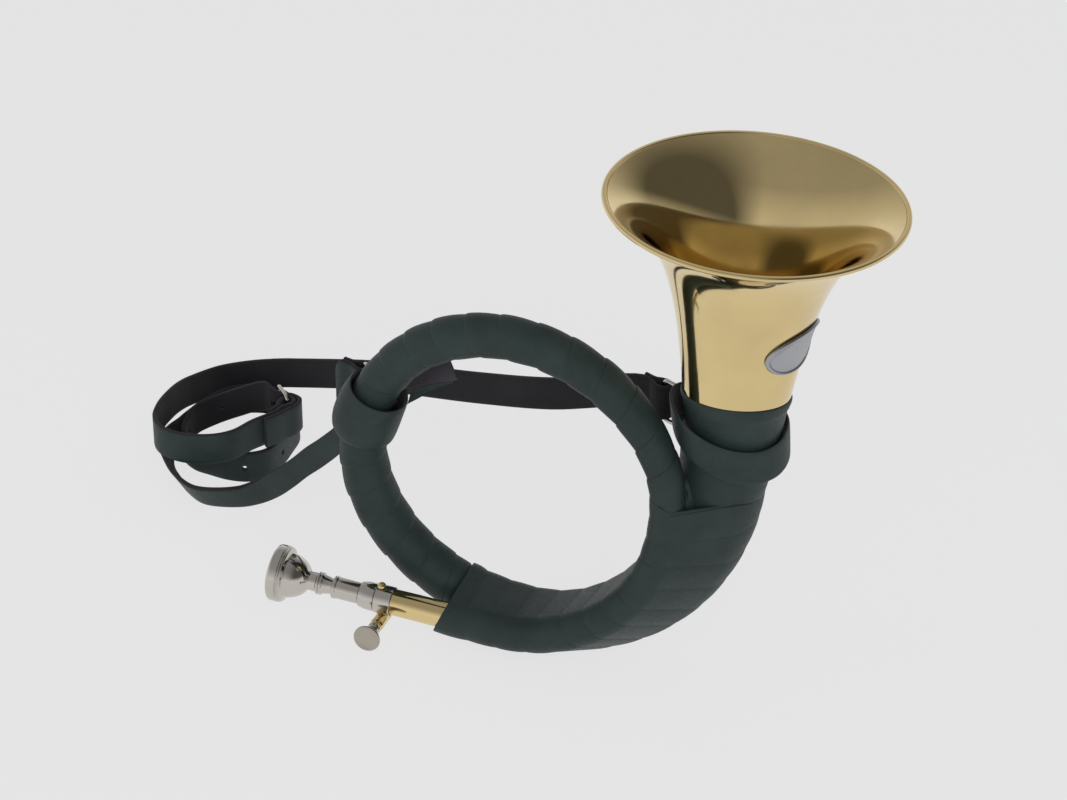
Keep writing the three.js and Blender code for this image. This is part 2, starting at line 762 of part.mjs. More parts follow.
// The sleeve's first ring lies in the plane where the joint binding ends
function endStation(angle) {
  const normal = Z.clone().applyAxisAngle(Y, -deg(angle));
  return { ...coilStation(angle), tangent: normal, radius: tubeRadius(angle) * branchPlaneShare };
}

const cuffBottom = bellLength + bellStraight;
const branchWrapStart = jointWrapEnd + 360 + wrapSlack;
const branchWrapRun = [
  endStation(branchWrapStart),
  coilStation(coilEnd),
  ...branchStations(bendSteps).slice(0, -1),
  {
    centre: bellPoint(cuffBottom + seatGap),
    tangent: bellAxis,
    radius: branchTopRadius(cuffBottom + seatGap),
  },
];
add(horn, 'branch_wrap', sleeve(branchWrapRun, 2.5 * seatGap, sleeveThickness, 2 * branchSides), 'leather');

const cuffStations = [0, 1].map((share) => {
  const below = THREE.MathUtils.lerp(cuffBottom, bellLength + 2 * seatGap, share);
  return { centre: bellPoint(below), tangent: bellAxis, radius: branchTopRadius(below) };
});
add(horn, 'bell_cuff', sleeve(cuffStations, seatGap, sleeveThickness, bellSides), 'leather');

// Braces: short brass stays that hold the two tubes apart under the joint binding
const braceRadius = 2.2;
const braceAngles = [-80, -45, -12];
const braceCutAngle = 6;

function solidTube(stations, clearance, sides) {
  return loftCapped(stations.map((s) => ring(s.centre, s.tangent, s.radius + clearance, sides)));
}

function brace(angle) {
  const front = coilPoint(angle);
  const back = coilPoint(angle + 360);
  const middle = front.clone().lerp(back, 0.5);
  const span = back.clone().sub(front);
  const stay = moved(
    new THREE.CylinderGeometry(braceRadius, braceRadius, span.length(), tubeSides),
    middle,
    new THREE.Quaternion().setFromUnitVectors(Y, span.clone().normalize()),
  );
  let solid = toManifold(stay);
  for (const turn of [0, 360]) {
    const cut = angleRange(angle - braceCutAngle + turn, angle + braceCutAngle + turn, 4).map(coilStation);
    solid = solid.subtract(toManifold(solidTube(cut, seatGap, cutterSides)));
  }
  return fromManifold(solid);
}

braceAngles.forEach((angle, i) => add(horn, `tube_brace_${i + 1}`, brace(angle), 'brass'));

// Collars: loose leather bands lofted from level to level
function collarBand(levels, sides) {
  const outer = levels.map((l) => ring(l.centre, l.tangent, l.radius, sides));
  const inner = levels.map((l) => ring(l.centre, l.tangent, l.radius - collarThickness, sides));
  return loftLoop([...outer, ...inner.reverse()]);
}

const collarSides = 24;
const collarThickness = 1.4;
const bellCollarMiddle = 108;
const bellCollarTilt = 5;
const bellCollarShift = new THREE.Vector3(-0.6, 1.6, 0);
const bellCollarAxis = bellAxis.clone().applyAxisAngle(X, deg(bellCollarTilt));
const bellCollarRadius = branchTopRadius(bellCollarMiddle - strapWidth / 2) + sleeveThickness + 3 * seatGap
  + bellCollarShift.length() + (strapWidth / 2) * Math.sin(deg(bellCollarTilt)) + collarThickness;
const bellCollarLevels = [-0.5, 0.5].map((share) => ({
  centre: bellPoint(bellCollarMiddle)
    .add(bellCollarShift)
    .addScaledVector(bellCollarAxis, share * strapWidth),
  tangent: bellCollarAxis,
  radius: bellCollarRadius,
}));
add(horn, 'bell_collar', collarBand(bellCollarLevels, collarSides), 'leather');

// The coil collar is pulled into a bowl: tight round the tube below, wide above, and deeper on
// the side towards the coil's middle. Each level has its place, radius, shift and tilt
const coilCollarStart = 173.8;
const coilCollarEnd = 154.4;
const coilCollarShares = [
  [0, 0.86, 0, -8], [0.1, 0.95, 0, -7], [0.35, 1, 0.35, -3], [0.7, 0.98, 0.8, 1], [1, 0.92, 1, 5],
];
const coilCollarSpread = 15.4;
const coilCollarShift = 1.2;
const coilCollarLevels = coilCollarShares.map(([along, radius, shift, tilt]) => {
  const station = coilStation(THREE.MathUtils.lerp(coilCollarStart, coilCollarEnd, along));
  return {
    centre: station.centre.addScaledVector(X, shift * coilCollarShift),
    tangent: station.tangent.negate().applyAxisAngle(Y, -deg(tilt)),
    radius: radius * coilCollarSpread,
  };
});
add(horn, 'coil_collar', collarBand(coilCollarLevels, collarSides), 'leather');

// Flap: the collar's free end, which stands out to the right, with a suede layer laid over it.
// Each row is an edge across a layer, as two corners in shares of the coil's radius
const flapThickness = 1.2;
const flapRows = [
  [[-0.707, 0.156, 0.401], [-0.735, 0.166, 0.307]],
  [[-0.656, 0.143, 0.435], [-0.668, 0.155, 0.36]],
  [[-0.545, 0.112, 0.504], [-0.577, 0.122, 0.44]],
  [[-0.42, 0.08, 0.568], [-0.427, 0.083, 0.55]],
];
const liningRows = [
  [[-0.711, 0.16, 0.427], [-0.793, 0.248, 0.447]],
  [[-0.64, 0.137, 0.475], [-0.7, 0.225, 0.5]],
  [[-0.51, 0.095, 0.54], [-0.575, 0.17, 0.6]],
  [[-0.38, 0.053, 0.607], [-0.453, 0.12, 0.693]],
];

function layer(rows, thickness) {
  const edges = rows.map((row) => (
    row.map((corner) => new THREE.Vector3(...corner).multiplyScalar(coilRadius))
  ));
  const across = edges[0][1].clone().sub(edges[0][0]);
  const along = edges[edges.length - 1][0].clone().sub(edges[0][0]);
  const through = new THREE.Vector3().crossVectors(along, across).normalize().multiplyScalar(-thickness);
  return loftCapped(edges.map(([first, second]) => [
    first,
    second,
    second.clone().add(through),
    first.clone().add(through),
  ]));
}

add(horn, 'collar_flap', layer(flapRows, -flapThickness), 'leather');
add(horn, 'flap_lining', layer(liningRows, flapThickness), 'suede');

// Shoulder strap: bands of leather that stand on edge. A route is a table of places, each with
// shares of the loop's span from the middle of the coiled strap: x, y, height over the rest, lean
const loopSpan = 100;
const loopMiddle = new THREE.Vector3(-200, 140, strapRest);
const eyeClearance = 1.2;
const wireRadius = 1;
const eyeRadius = wireRadius + eyeClearance + strapThickness / 2;
const eyeTailLength = 12;
const strapSteps = 2;

function eyeSide(along) {
  return new THREE.Vector3().crossVectors(along, Z);
}

function place(x, y, up, lean = 0) {
  const at = new THREE.Vector3(x, y, up).multiplyScalar(loopSpan).add(loopMiddle);
  return { at, lean };
}

// The strap's own eye round a wire: out on one side, round the wire, and back along the other
function eyeRoute(wire, along, aside, lap) {
  const route = [];
  const spot = (a, b) => ({ at: wire.clone().addScaledVector(along, a).addScaledVector(aside, b), lean: 0 });
  const waist = strapThickness / 2 + lap;
  route.push(spot(-eyeTailLength, -waist), spot(-eyeTailLength / 2, -waist));
  route.push(spot(-eyeRadius, -eyeRadius * 0.8));
  for (const turn of [-90, -45, 0, 45, 90]) {
    route.push(spot(eyeRadius * Math.cos(deg(turn)), eyeRadius * Math.sin(deg(turn))));
  }
  route.push(spot(-eyeRadius, eyeRadius * 0.8), spot(-eyeTailLength / 2, waist), spot(-eyeTailLength, waist));
  return route;
}

function band(route, width, thickness) {
  const curve = new THREE.CatmullRomCurve3(route.map((r) => r.at), false, 'centripetal');
  const rings = [];
  const count = (route.length - 1) * strapSteps;
  for (let i = 0; i <= count; i += 1) {
    const share = i / count;
    const slot = Math.min(Math.floor(i / strapSteps), route.length - 2);
    const lean = deg(THREE.MathUtils.lerp(route[slot].lean, route[slot + 1].lean, i / strapSteps - slot));
    const tangent = curve.getTangent(share).setZ(0).normalize();
    const aside = new THREE.Vector3().crossVectors(tangent, Z);
    const up = Z.clone().multiplyScalar(Math.cos(lean)).addScaledVector(aside, -Math.sin(lean));
    const face = new THREE.Vector3().crossVectors(tangent, up).multiplyScalar(thickness / 2);
    const foot = curve.getPoint(share).addScaledVector(Z, (Math.abs(Math.sin(lean)) * thickness) / 2);
    const head = foot.clone().addScaledVector(up, width);
    rings.push([
      foot.clone().add(face),
      foot.clone().sub(face),
      head.clone().sub(face),
      head.clone().add(face),
    ]);
  }
  return loftCapped(rings);
}

// A closed wire loop with round corners, in the plane of two directions
function wireLoop(centre, first, second, halfFirst, halfSecond, corner, radius) {
  const normal = new THREE.Vector3().crossVectors(first, second).normalize();
  const rings = [];
  for (let quarter = 0; quarter < 4; quarter += 1) {
    const [signFirst, signSecond] = [[1, 1], [-1, 1], [-1, -1], [1, -1]][quarter];
    for (const step of [0, 1, 2]) {
      const turn = ((quarter + step / 2) * Math.PI) / 2;
      const a = signFirst * (halfFirst - corner) + corner * Math.cos(turn);
      const b = signSecond * (halfSecond - corner) + corner * Math.sin(turn);
      const at = centre.clone().addScaledVector(first, a).addScaledVector(second, b);
      const out = first.clone().multiplyScalar(Math.cos(turn)).addScaledVector(second, Math.sin(turn));
      const section = [];
      for (let j = 0; j < wireSides; j += 1) {
        const around = (2 * Math.PI * j) / wireSides;
        section.push(
          at.clone()
            .addScaledVector(out, radius * Math.cos(around))
            .addScaledVector(normal, radius * Math.sin(around)),
        );
      }
      rings.push(section);
    }
  }
  return loftLoop(rings);
}

// Rings: a wire loop at each collar, held in a leather tab, with the strap's eye on its outer leg
const ringHalfLength = 4.8;
const ringHalfHeight = strapWidth / 2 + 1.6;
const ringCorner = 2;
const tabThickness = 1.3;
const tabRadius = wireRadius + seatGap + tabThickness;
const tabHeight = 13;
const ringRest = strapWidth / 2;

function strapRing(name, inner, along) {
  const centre = inner.clone().addScaledVector(along, ringHalfLength);
  const wire = wireLoop(centre, along, Z, ringHalfLength, ringHalfHeight, ringCorner, wireRadius);
  add(horn, `ring_${name}`, wire, 'nickel');
  const tab = turnedTube(
    [[-tabHeight / 2, tabRadius], [tabHeight / 2, tabRadius]],
    [[-tabHeight / 2, tabRadius - tabThickness], [tabHeight / 2, tabRadius - tabThickness]],
    tubeSides,
  );
  add(horn, `ring_tab_${name}`, tab, 'leather', inner, nubTurn);
  return inner.clone().addScaledVector(along, 2 * ringHalfLength);
}

const bellRingAlong = new THREE.Vector3(-0.9, 0.44, 0).normalize();
const bellRingHeight = 37.5;
const bellRingReach = bellCollarRadius + seatGap + tabRadius + 0.2 * strapThickness;
const bellRingBelow = (bellCentre.z - bellRingHeight) / bellAxis.z;
const bellRingInner = bellPoint(bellRingBelow).add(bellCollarShift)
  .addScaledVector(bellRingAlong, bellRingReach).setZ(bellRingHeight);
const bellRingOuter = strapRing('bell', bellRingInner, bellRingAlong);

const coilTabOut = new THREE.Vector3(-0.25, 0.97, 0).normalize();
const coilRingAlong = new THREE.Vector3(-0.7, 0.71, 0).normalize();
const coilStrapAlong = new THREE.Vector3(-0.97, 0.25, 0).normalize();
const coilRingAngle = 163;
const coilRingHeight = 19;
const coilRingInner = coilPoint(coilRingAngle)
  .addScaledVector(coilTabOut, coilCollarSpread + 4 * seatGap + tabRadius).setZ(coilRingHeight);
const coilRingOuter = strapRing('coil', coilRingInner, coilRingAlong);

// Strap with the buckle: down from the bell's ring, round the loop, and up to the buckle's bar
const longPlaces = [
  [2, -0.87, 0.989], [1.6, -0.68, 0.838], [1.2, -0.46, 0.685], [0.803, -0.026, 0.404], [0.599, 0.094, 0.309],
  [0.304, 0.234, 0.184], [0.167, 0.272, 0.139], [0.003, 0.275, 0.096], [-0.13, 0.206, 0.081],
  [-0.21, 0.021, 0.109], [-0.217, -0.109, 0.145], [-0.208, -0.253, 0.178], [-0.199, -0.398, 0.19],
  [-0.166, -0.525, 0.19], [-0.092, -0.603, 0.188], [0.02, -0.618, 0.178], [0.16, -0.58, 0.176],
  [0.245, -0.515, 0.18], [0.305, -0.42, 0.193],
];
const buckleBar = place(0.4, -0.19, 0.2).at;
const buckleAlong = new THREE.Vector3(0.25, 0.97, 0).normalize();
const buckleAside = eyeSide(buckleAlong);
const eyeLap = 0.25;

function foot(point) {
  return point.clone().addScaledVector(Z, -ringRest);
}

function ringEye(outer, along) {
  const inward = along.clone().negate();
  return eyeRoute(foot(outer), inward, eyeSide(inward), eyeLap);
}

const bellEye = ringEye(bellRingOuter, bellRingAlong);
const buckleEye = eyeRoute(buckleBar, buckleAlong, buckleAside, eyeLap).reverse();
const longRoute = [...bellEye, ...longPlaces.map((p) => place(...p)), ...buckleEye];
const prongSlotHeight = 3;
const longStrap = band(longRoute, strapWidth, strapThickness);
const eyeSlot = moved(
  new THREE.BoxGeometry(4 * eyeRadius, 2 * eyeRadius, prongSlotHeight),
  buckleBar.clone().addScaledVector(Z, strapWidth / 2).addScaledVector(buckleAlong, eyeRadius * 0.9),
);
add(horn, 'strap_long', fromManifold(toManifold(longStrap).subtract(toManifold(eyeSlot))), 'suede');

// Strap with the tongue: from the coil's ring down to the rest, twice round, and through the buckle
const tonguePlaces = [
  [1.015, -1.025, 0.92], [1.015, -0.945, 0.78], [0.99, -0.87, 0.64], [0.925, -0.81, 0.515],
  [0.816, -0.762, 0.39],
  [0.712, -0.717, 0.285], [0.635, -0.69, 0.2, 3], [0.55, -0.66, 0.115, 8], [0.45, -0.635, 0.04, 15],
  [0.35, -0.64, 0, 22], [0.25, -0.675, 0, 28],
  [0.15, -0.68, 0, 32], [0.04, -0.61, 0, 31], [-0.05, -0.52, 0, 27], [-0.13, -0.425, 0, 22],
  [-0.17, -0.325, 0, 12],
  [-0.17, -0.22, 0, 3], [-0.16, -0.11, 0], [-0.135, 0, 0], [-0.095, 0.095, 0], [-0.04, 0.165, 0],
  [0.04, 0.21, 0], [0.12, 0.225, 0], [0.2, 0.21, 0], [0.265, 0.17, 0], [0.32, 0.1, 0], [0.36, 0.02, 0],
  [0.37, -0.1, 0], [0.37, -0.25, 0], [0.345, -0.36, 0], [0.27, -0.42, 0], [0.17, -0.435, 0], [0.07, -0.42, 0],
  [-0.02, -0.405, 0.005], [-0.09, -0.36, 0.019], [-0.125, -0.256, 0.029], [-0.122, -0.146, 0.044],
  [-0.053, -0.073, 0.069], [0.065, -0.038, 0.12],
];

// Buckle: a wire frame on the long strap's eye, tipped over the tongue, with a prong through it
const frameHalfLength = 6.5;
const frameHalfHeight = strapWidth / 2 + 1.6;
const frameCorner = 3;
const frameTip = -57;
const frameWire = 1.1;
const frameAlong = buckleAlong.clone().applyAxisAngle(Z, -deg(frameTip));
const barMiddle = buckleBar.clone().addScaledVector(Z, strapWidth / 2);
const frameMiddle = barMiddle.clone().addScaledVector(frameAlong, frameHalfLength);
const frameGeometry = wireLoop(
  frameMiddle,
  frameAlong,
  Z,
  frameHalfLength,
  frameHalfHeight,
  frameCorner,
  wireRadius,
);
add(horn, 'buckle_frame', frameGeometry, 'nickel');

// The prong: an eye round the frame's bar, and a shank that rests on the frame's far side
const prongRadius = 0.9;
const prongWidth = 1.9;
const prongEyeRadius = wireRadius + seatGap;
const prongEyeClearance = 0.2;
const prongEyeOuter = eyeRadius - strapThickness / 2 - prongEyeClearance;
const prongReach = 2 * frameHalfLength + frameWire;
const prongRise = wireRadius + seatGap + prongRadius;
const prongEye = turnedTube(
  [[-prongWidth / 2, prongEyeOuter], [prongWidth / 2, prongEyeOuter]],
  [[-prongWidth / 2, prongEyeRadius], [prongWidth / 2, prongEyeRadius]],
  tubeSides,
);
const frameOut = frameAlong.clone().applyAxisAngle(Z, -Math.PI / 2);
const prongFoot = barMiddle.clone()
  .addScaledVector(frameOut, prongEyeOuter - prongRadius / 4)
  .addScaledVector(frameAlong, prongRadius);
const prongTop = barMiddle.clone()
  .addScaledVector(frameAlong, prongReach)
  .addScaledVector(frameOut, prongRise);
const prongSpan = prongTop.clone().sub(prongFoot);
const prongShank = moved(
  new THREE.BoxGeometry(prongRadius * 1.6, prongSpan.length(), prongWidth),
  prongFoot.clone().addScaledVector(prongSpan, 0.5),
  new THREE.Quaternion().setFromAxisAngle(Z, Math.atan2(-prongSpan.x, prongSpan.y)),
);
const prongSolid = toManifold(moved(prongEye, barMiddle, nubTurn)).add(toManifold(prongShank));
add(horn, 'buckle_prong', fromManifold(prongSolid), 'nickel');

// The tongue runs under the frame's far side, over its bar, and on along the long strap
const tongueThrough = [
  [8, -20], [5.3, -13], [4.2, -7], [5.9, -1.4], [4.8, 4], [-1.4, 6.3], [-8.8, 4.6], [-14.5, 3.7],
  [-20.7, 1.7],
];
const tongueEnd = tongueThrough.map(([a, b]) => ({
  at: buckleBar.clone().addScaledVector(buckleAlong, a).addScaledVector(buckleAside, b),
  lean: 0,
}));
const coilEye = ringEye(coilRingOuter, coilStrapAlong);
const tongueRoute = [...coilEye, ...tonguePlaces.map((p) => place(...p)), ...tongueEnd];
const tongueSlotReach = 7;
const tongueSlot = moved(
  new THREE.BoxGeometry(3 * eyeRadius, 4 * eyeRadius, prongSlotHeight),
  barMiddle.clone().addScaledVector(frameAlong, tongueSlotReach),
  new THREE.Quaternion().setFromUnitVectors(Y, frameAlong),
);
const tongueStrap = band(tongueRoute, strapWidth, strapThickness);
add(horn, 'strap_tongue', fromManifold(toManifold(tongueStrap).subtract(toManifold(tongueSlot))), 'suede');

export default horn;
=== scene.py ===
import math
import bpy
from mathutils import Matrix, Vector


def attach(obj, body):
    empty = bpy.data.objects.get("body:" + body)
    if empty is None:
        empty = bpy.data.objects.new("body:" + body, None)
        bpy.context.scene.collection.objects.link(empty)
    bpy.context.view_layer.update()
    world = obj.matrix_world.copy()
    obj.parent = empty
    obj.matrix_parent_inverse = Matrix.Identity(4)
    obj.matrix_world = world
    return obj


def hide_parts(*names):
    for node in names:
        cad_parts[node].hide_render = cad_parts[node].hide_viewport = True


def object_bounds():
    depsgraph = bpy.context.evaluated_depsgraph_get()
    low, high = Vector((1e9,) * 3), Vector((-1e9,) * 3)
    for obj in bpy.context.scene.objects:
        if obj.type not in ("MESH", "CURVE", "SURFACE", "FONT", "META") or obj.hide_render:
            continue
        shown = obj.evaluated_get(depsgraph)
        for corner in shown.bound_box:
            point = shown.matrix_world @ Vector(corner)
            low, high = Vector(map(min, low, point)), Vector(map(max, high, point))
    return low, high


bl_info = {
    "name": "Hunting horn",
    "version": (1, 0, 0),
    "blender": (4, 5, 0),
    "location": "3D View > Sidebar > Horn",
    "description": "Dresses the packed model of a leather-bound hunting horn",
    "category": "Add Mesh",
}

import bmesh
import bpy
import numpy as np
from bpy.props import FloatProperty, FloatVectorProperty, IntProperty, PointerProperty
from mathutils import Vector, noise

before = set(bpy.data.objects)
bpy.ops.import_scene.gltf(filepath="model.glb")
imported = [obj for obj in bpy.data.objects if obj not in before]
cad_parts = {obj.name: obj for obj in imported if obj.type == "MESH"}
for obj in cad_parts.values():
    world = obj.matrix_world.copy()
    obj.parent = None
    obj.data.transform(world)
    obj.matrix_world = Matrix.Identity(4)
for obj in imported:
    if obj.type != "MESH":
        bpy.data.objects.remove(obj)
CAD_BOX = [list(corner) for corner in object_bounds()]
MM = 0.001
X_AXIS = np.array([1.0, 0.0, 0.0])
Y_AXIS = np.array([0.0, 1.0, 0.0])
Z_AXIS = np.array([0.0, 0.0, 1.0])

# The coil's centreline in polar form, and the tube's radius, as in the CAD model (millimetres)
COIL_ANGLES = [-94.5, -50, -10, 20, 50, 80, 110, 140, 170, 200, 230, 260, 285, 305, 325, 345, 365, 375]
COIL_RADIUS_SHARES = [
    0.964, 0.964, 0.98, 1.014, 1.016, 1.005, 0.993, 0.987, 1.003,
    1.018, 1.022, 1.03, 1.079, 1.093, 1.111, 1.144, 1.216, 1.296,
]
TUBE_RADIUS_SHARES = [
    1, 1, 1, 0.98, 1.19, 1.25, 1.27, 1.27, 1.37,
    1.5, 1.51, 1.56, 1.8, 2.05, 2.36, 2.66, 2.92, 3.03,
]
COIL_RADIUS = 75.0
LEAD_RADIUS = 6.15
FRONT_DEPTH = 11.7
BACK_DEPTH = 13.8
COIL_START = -94.5
COIL_END = 375.0
BRANCH_START = 236
RISE = (-10.0, 256.0)
SETTLE = (320.0, 375.0)
SEAT_GAP = 0.3

# The bell: its rim circle, lean and flare
BELL_CENTRE = np.array([103.4, 10.0, 152.0])
BELL_LEAN = math.radians(3.7)
BELL_AXIS = np.array([math.sin(BELL_LEAN), 0.0, math.cos(BELL_LEAN)])
BELL_MOUTH = 65.0
FLARE_LENGTH = 18.0
FLARE_SHARE = 0.557
BELL_LENGTH = 95.0
BELL_STRAIGHT = 18.0
SOCKET_DEPTH = 1.3
BEAD_RADIUS = 1.25
BEAD_FLAT = 0.84
BEAD_SIDES = 20
BELL_SIDES = 160
WALL = 0.6


# Settings


def length(name, description, default, low):
    """A length, given here in millimetres and kept in metres"""
    return FloatProperty(
        name=name, description=description, default=default * MM, min=low * MM, subtype="DISTANCE",
        unit="LENGTH",
    )


def tint(name, description, *default):
    """A colour in linear light"""
    return FloatVectorProperty(
        name=name, description=description, default=default, size=3, min=0, max=1, subtype="COLOR",
    )


class HornSizes(bpy.types.PropertyGroup):
    """Sizes that a user would change"""

    strip_thickness: length("Strip thickness", "Thickness of the leather strip of the binding", 0.95, 0.2)
    strap_width: length("Strap width", "Width of the shoulder strap", 16.6, 5)
    strap_thickness: length("Strap thickness", "Thickness of the shoulder strap", 2.2, 0.5)
    hole_radius: length("Hole radius", "Radius of the punched holes in the strap", 1.2, 0.2)
    turned_sides: IntProperty(
        name="Turned sides", description="Facets round a turned piece", default=72, min=12,
    )
    focal_length: FloatProperty(
        name="Focal length", description="Focal length of the camera, in millimetres",
        default=115.684, min=10,
    )


class HornColours(bpy.types.PropertyGroup):
    """Base colours of the finishes, in linear light"""

    brass: tint("Brass", "Polished and lacquered brass", 0.77, 0.60, 0.30)
    nickel: tint("Nickel", "Polished nickel silver", 0.60, 0.565, 0.52)
    satin: tint("Satin nickel", "Satin nickel silver of the thumb screw", 0.46, 0.42, 0.36)
    silver: tint("Silver", "Matt silver plate of the badge", 0.42, 0.43, 0.45)
    leather: tint("Leather", "Grain side of the leather", 0.0195, 0.0305, 0.0295)
    flesh: tint("Flesh side", "Flesh side of the leather", 0.017, 0.0155, 0.018)
    lining: tint("Lining", "Suede of the flap", 0.050, 0.044, 0.055)
    edge: tint("Cut edge", "Cut edges of the leather", 0.020, 0.017, 0.020)
    ground: tint("Floor", "Floor and background", 0.84, 0.84, 0.84)


def sizes():
    return bpy.context.scene.horn_sizes


def colours():
    return bpy.context.scene.horn_colours


# Curves and sections of the horn, in millimetres


def unit(vector):
    return vector / np.linalg.norm(vector)


def smoothstep(value, low, high):
    share = min(max((value - low) / (high - low), 0.0), 1.0)
    return share * share * (3 - 2 * share)


def between(keys, values, key):
    """A smooth value between the entries of a table"""
    last = len(keys) - 1
    if key <= keys[0]:
        return values[0]
    if key >= keys[last]:
        return values[last]
    i = max(n for n in range(last) if keys[n] < key)

    def slope(n):
        low, high = max(n - 1, 0), min(n + 1, last)
        return (values[high] - values[low]) / (keys[high] - keys[low])

    span = keys[i + 1] - keys[i]
    t = (key - keys[i]) / span
    return (
        (2 * t**3 - 3 * t**2 + 1) * values[i] + (t**3 - 2 * t**2 + t) * span * slope(i)
        + (3 * t**2 - 2 * t**3) * values[i + 1] + (t**3 - t**2) * span * slope(i + 1)
    )


def coil_point(angle):
    radius = COIL_RADIUS * between(COIL_ANGLES, COIL_RADIUS_SHARES, angle)
    rise, settle = smoothstep(angle, *RISE), smoothstep(angle, *SETTLE)
    depth = -FRONT_DEPTH + (BACK_DEPTH + FRONT_DEPTH) * rise
    depth = depth + (BELL_CENTRE[1] - BACK_DEPTH) * settle
    turn = math.radians(angle)
    return np.array([radius * math.cos(turn), depth, radius * math.sin(turn)])


def tube_radius(angle):
    return LEAD_RADIUS * between(COIL_ANGLES, TUBE_RADIUS_SHARES, angle)


def coil_tangent(angle):
    before, after = max(angle - 0.5, COIL_START), min(angle + 0.5, COIL_END)
    return unit(coil_point(after) - coil_point(before))


def station(centre, tangent, radius):
    return {"centre": centre, "tangent": tangent, "radius": radius}


def coil_station(angle):
    return station(coil_point(angle), coil_tangent(angle), tube_radius(angle))


def bell_point(below):
    return BELL_CENTRE - BELL_AXIS * below


def flare_radius(below):
    return BELL_MOUTH * (FLARE_LENGTH / (below + FLARE_LENGTH)) ** FLARE_SHARE


def branch_top_radius(below):
    return flare_radius(below) - SOCKET_DEPTH


def branch_stations(steps):
    """From the coil's end up to the straight under the bell"""
    start, end = coil_point(COIL_END), bell_point(BELL_LENGTH + BELL_STRAIGHT)
    reach = np.linalg.norm(end - start) / 3
    tangent = coil_tangent(COIL_END)
    knots = [start, start + tangent * reach, end - BELL_AXIS * reach, end]
    first, last = tube_radius(COIL_END), branch_top_radius(BELL_LENGTH + BELL_STRAIGHT)
    out = []
    for i in range(1, steps + 1):
        t = i / steps
        s = 1 - t
        k = knots
        centre = s**3 * k[0] + 3 * s * s * t * k[1] + 3 * s * t * t * k[2] + t**3 * k[3]
        along = s * s * (k[1] - k[0]) + 2 * s * t * (k[2] - k[1]) + t * t * (k[3] - k[2])
        out.append(station(centre, unit(along), first + (last - first) * t))
    return out


def straight_stations(steps, stop):
    out = []
    for i in range(1, steps + 1):
        below = BELL_LENGTH + BELL_STRAIGHT + (stop - BELL_LENGTH - BELL_STRAIGHT) * i / steps
        out.append(station(bell_point(below), BELL_AXIS, branch_top_radius(below)))
    return out


def axes_at(tangent):
    radial = unit(np.cross(Y_AXIS, tangent))
    return radial, unit(np.cross(tangent, radial))


def ring(at, radius, sides):
    radial, side = axes_at(at["tangent"])
    turns = np.linspace(0, 2 * math.pi, sides, endpoint=False)
    return at["centre"] + radius * (np.outer(np.cos(turns), radial) + np.outer(np.sin(turns), side))


# Meshes


def rough(points, height, scale):
    """A small smooth unevenness for each point, in millimetres"""
    return np.array([height * noise.noise(Vector(p) / scale) for p in points])


def from_faces(name, points, faces, materials, slots=None, sharp=40):
    """An object whose faces are turned outward, from points in millimetres, with each face's
    material. materials: the names of finishes"""
    mesh = bpy.data.meshes.new(name)
    mesh.from_pydata((np.asarray(points) * MM).tolist(), [], faces)
    if slots is not None:
        mesh.polygons.foreach_set("material_index", slots)
    bm = bmesh.new()
    bm.from_mesh(mesh)
    bmesh.ops.remove_doubles(bm, verts=bm.verts, dist=0.002 * MM)
    bmesh.ops.dissolve_degenerate(bm, edges=bm.edges, dist=0.001 * MM)
    bmesh.ops.recalc_face_normals(bm, faces=bm.faces)
    if bm.calc_volume(signed=True) < 0:
        bmesh.ops.reverse_faces(bm, faces=bm.faces)
    bm.to_mesh(mesh)
    bm.free()
    for polygon in mesh.polygons:
        polygon.use_smooth = True
    mesh.set_sharp_from_angle(angle=math.radians(sharp))
    for key in materials:
        mesh.materials.append(finish(key))
    piece = bpy.data.objects.new(name, mesh)
    bpy.context.scene.collection.objects.link(piece)
    return piece


def loft(name, rings, materials, ends="caps", slots=None, rows=None, sharp=40):
    """Rings of equal count joined in order. ends: caps, or loop where the last meets the first.
    slots gives each column's material, or rows each row's"""
    rings = np.asarray(rings)
    count, width = rings.shape[:2]
    faces, used = [], []
    for i in range(count if ends == "loop" else count - 1):
        following = (i + 1) % count
        for j in range(width):
            k = (j + 1) % width
            faces.append((i * width + j, following * width + j, following * width + k, i * width + k))
            used.append(rows[i] if rows else slots[j] if slots else 0)
    if ends == "caps":
        last = (count - 1) * width
        faces.append(tuple(reversed(range(width))))
        faces.append(tuple(range(last, last + width)))
        used += [slots[-1] if slots else 0] * 2
    return from_faces(name, rings.reshape(-1, 3), faces, materials, used, sharp)


def filleted(outline, radius):
    """The outline with each corner cut by a short curve"""
    points = [np.array(p, float) for p in outline]
    count = len(points)
    out = []
    for i, corner in enumerate(points):
        before, after = points[i - 1], points[(i + 1) % count]
        a, b = before - corner, after - corner
        la, lb = np.linalg.norm(a), np.linalg.norm(b)
        if min(la, lb) < 1e-6:
            continue
        bend = math.degrees(math.acos(max(-1, min(1, -np.dot(a, b) / la / lb))))
        on_axis = corner[1] < 1e-6
        if bend < 18 or on_axis:
            out.append(corner)
            continue
        start = corner + a / la * min(radius, la * 0.35)
        end = corner + b / lb * min(radius, lb * 0.35)
        for t in (0, 0.33, 0.67, 1):
            out.append((1 - t) ** 2 * start + 2 * t * (1 - t) * corner + t * t * end)
    return out


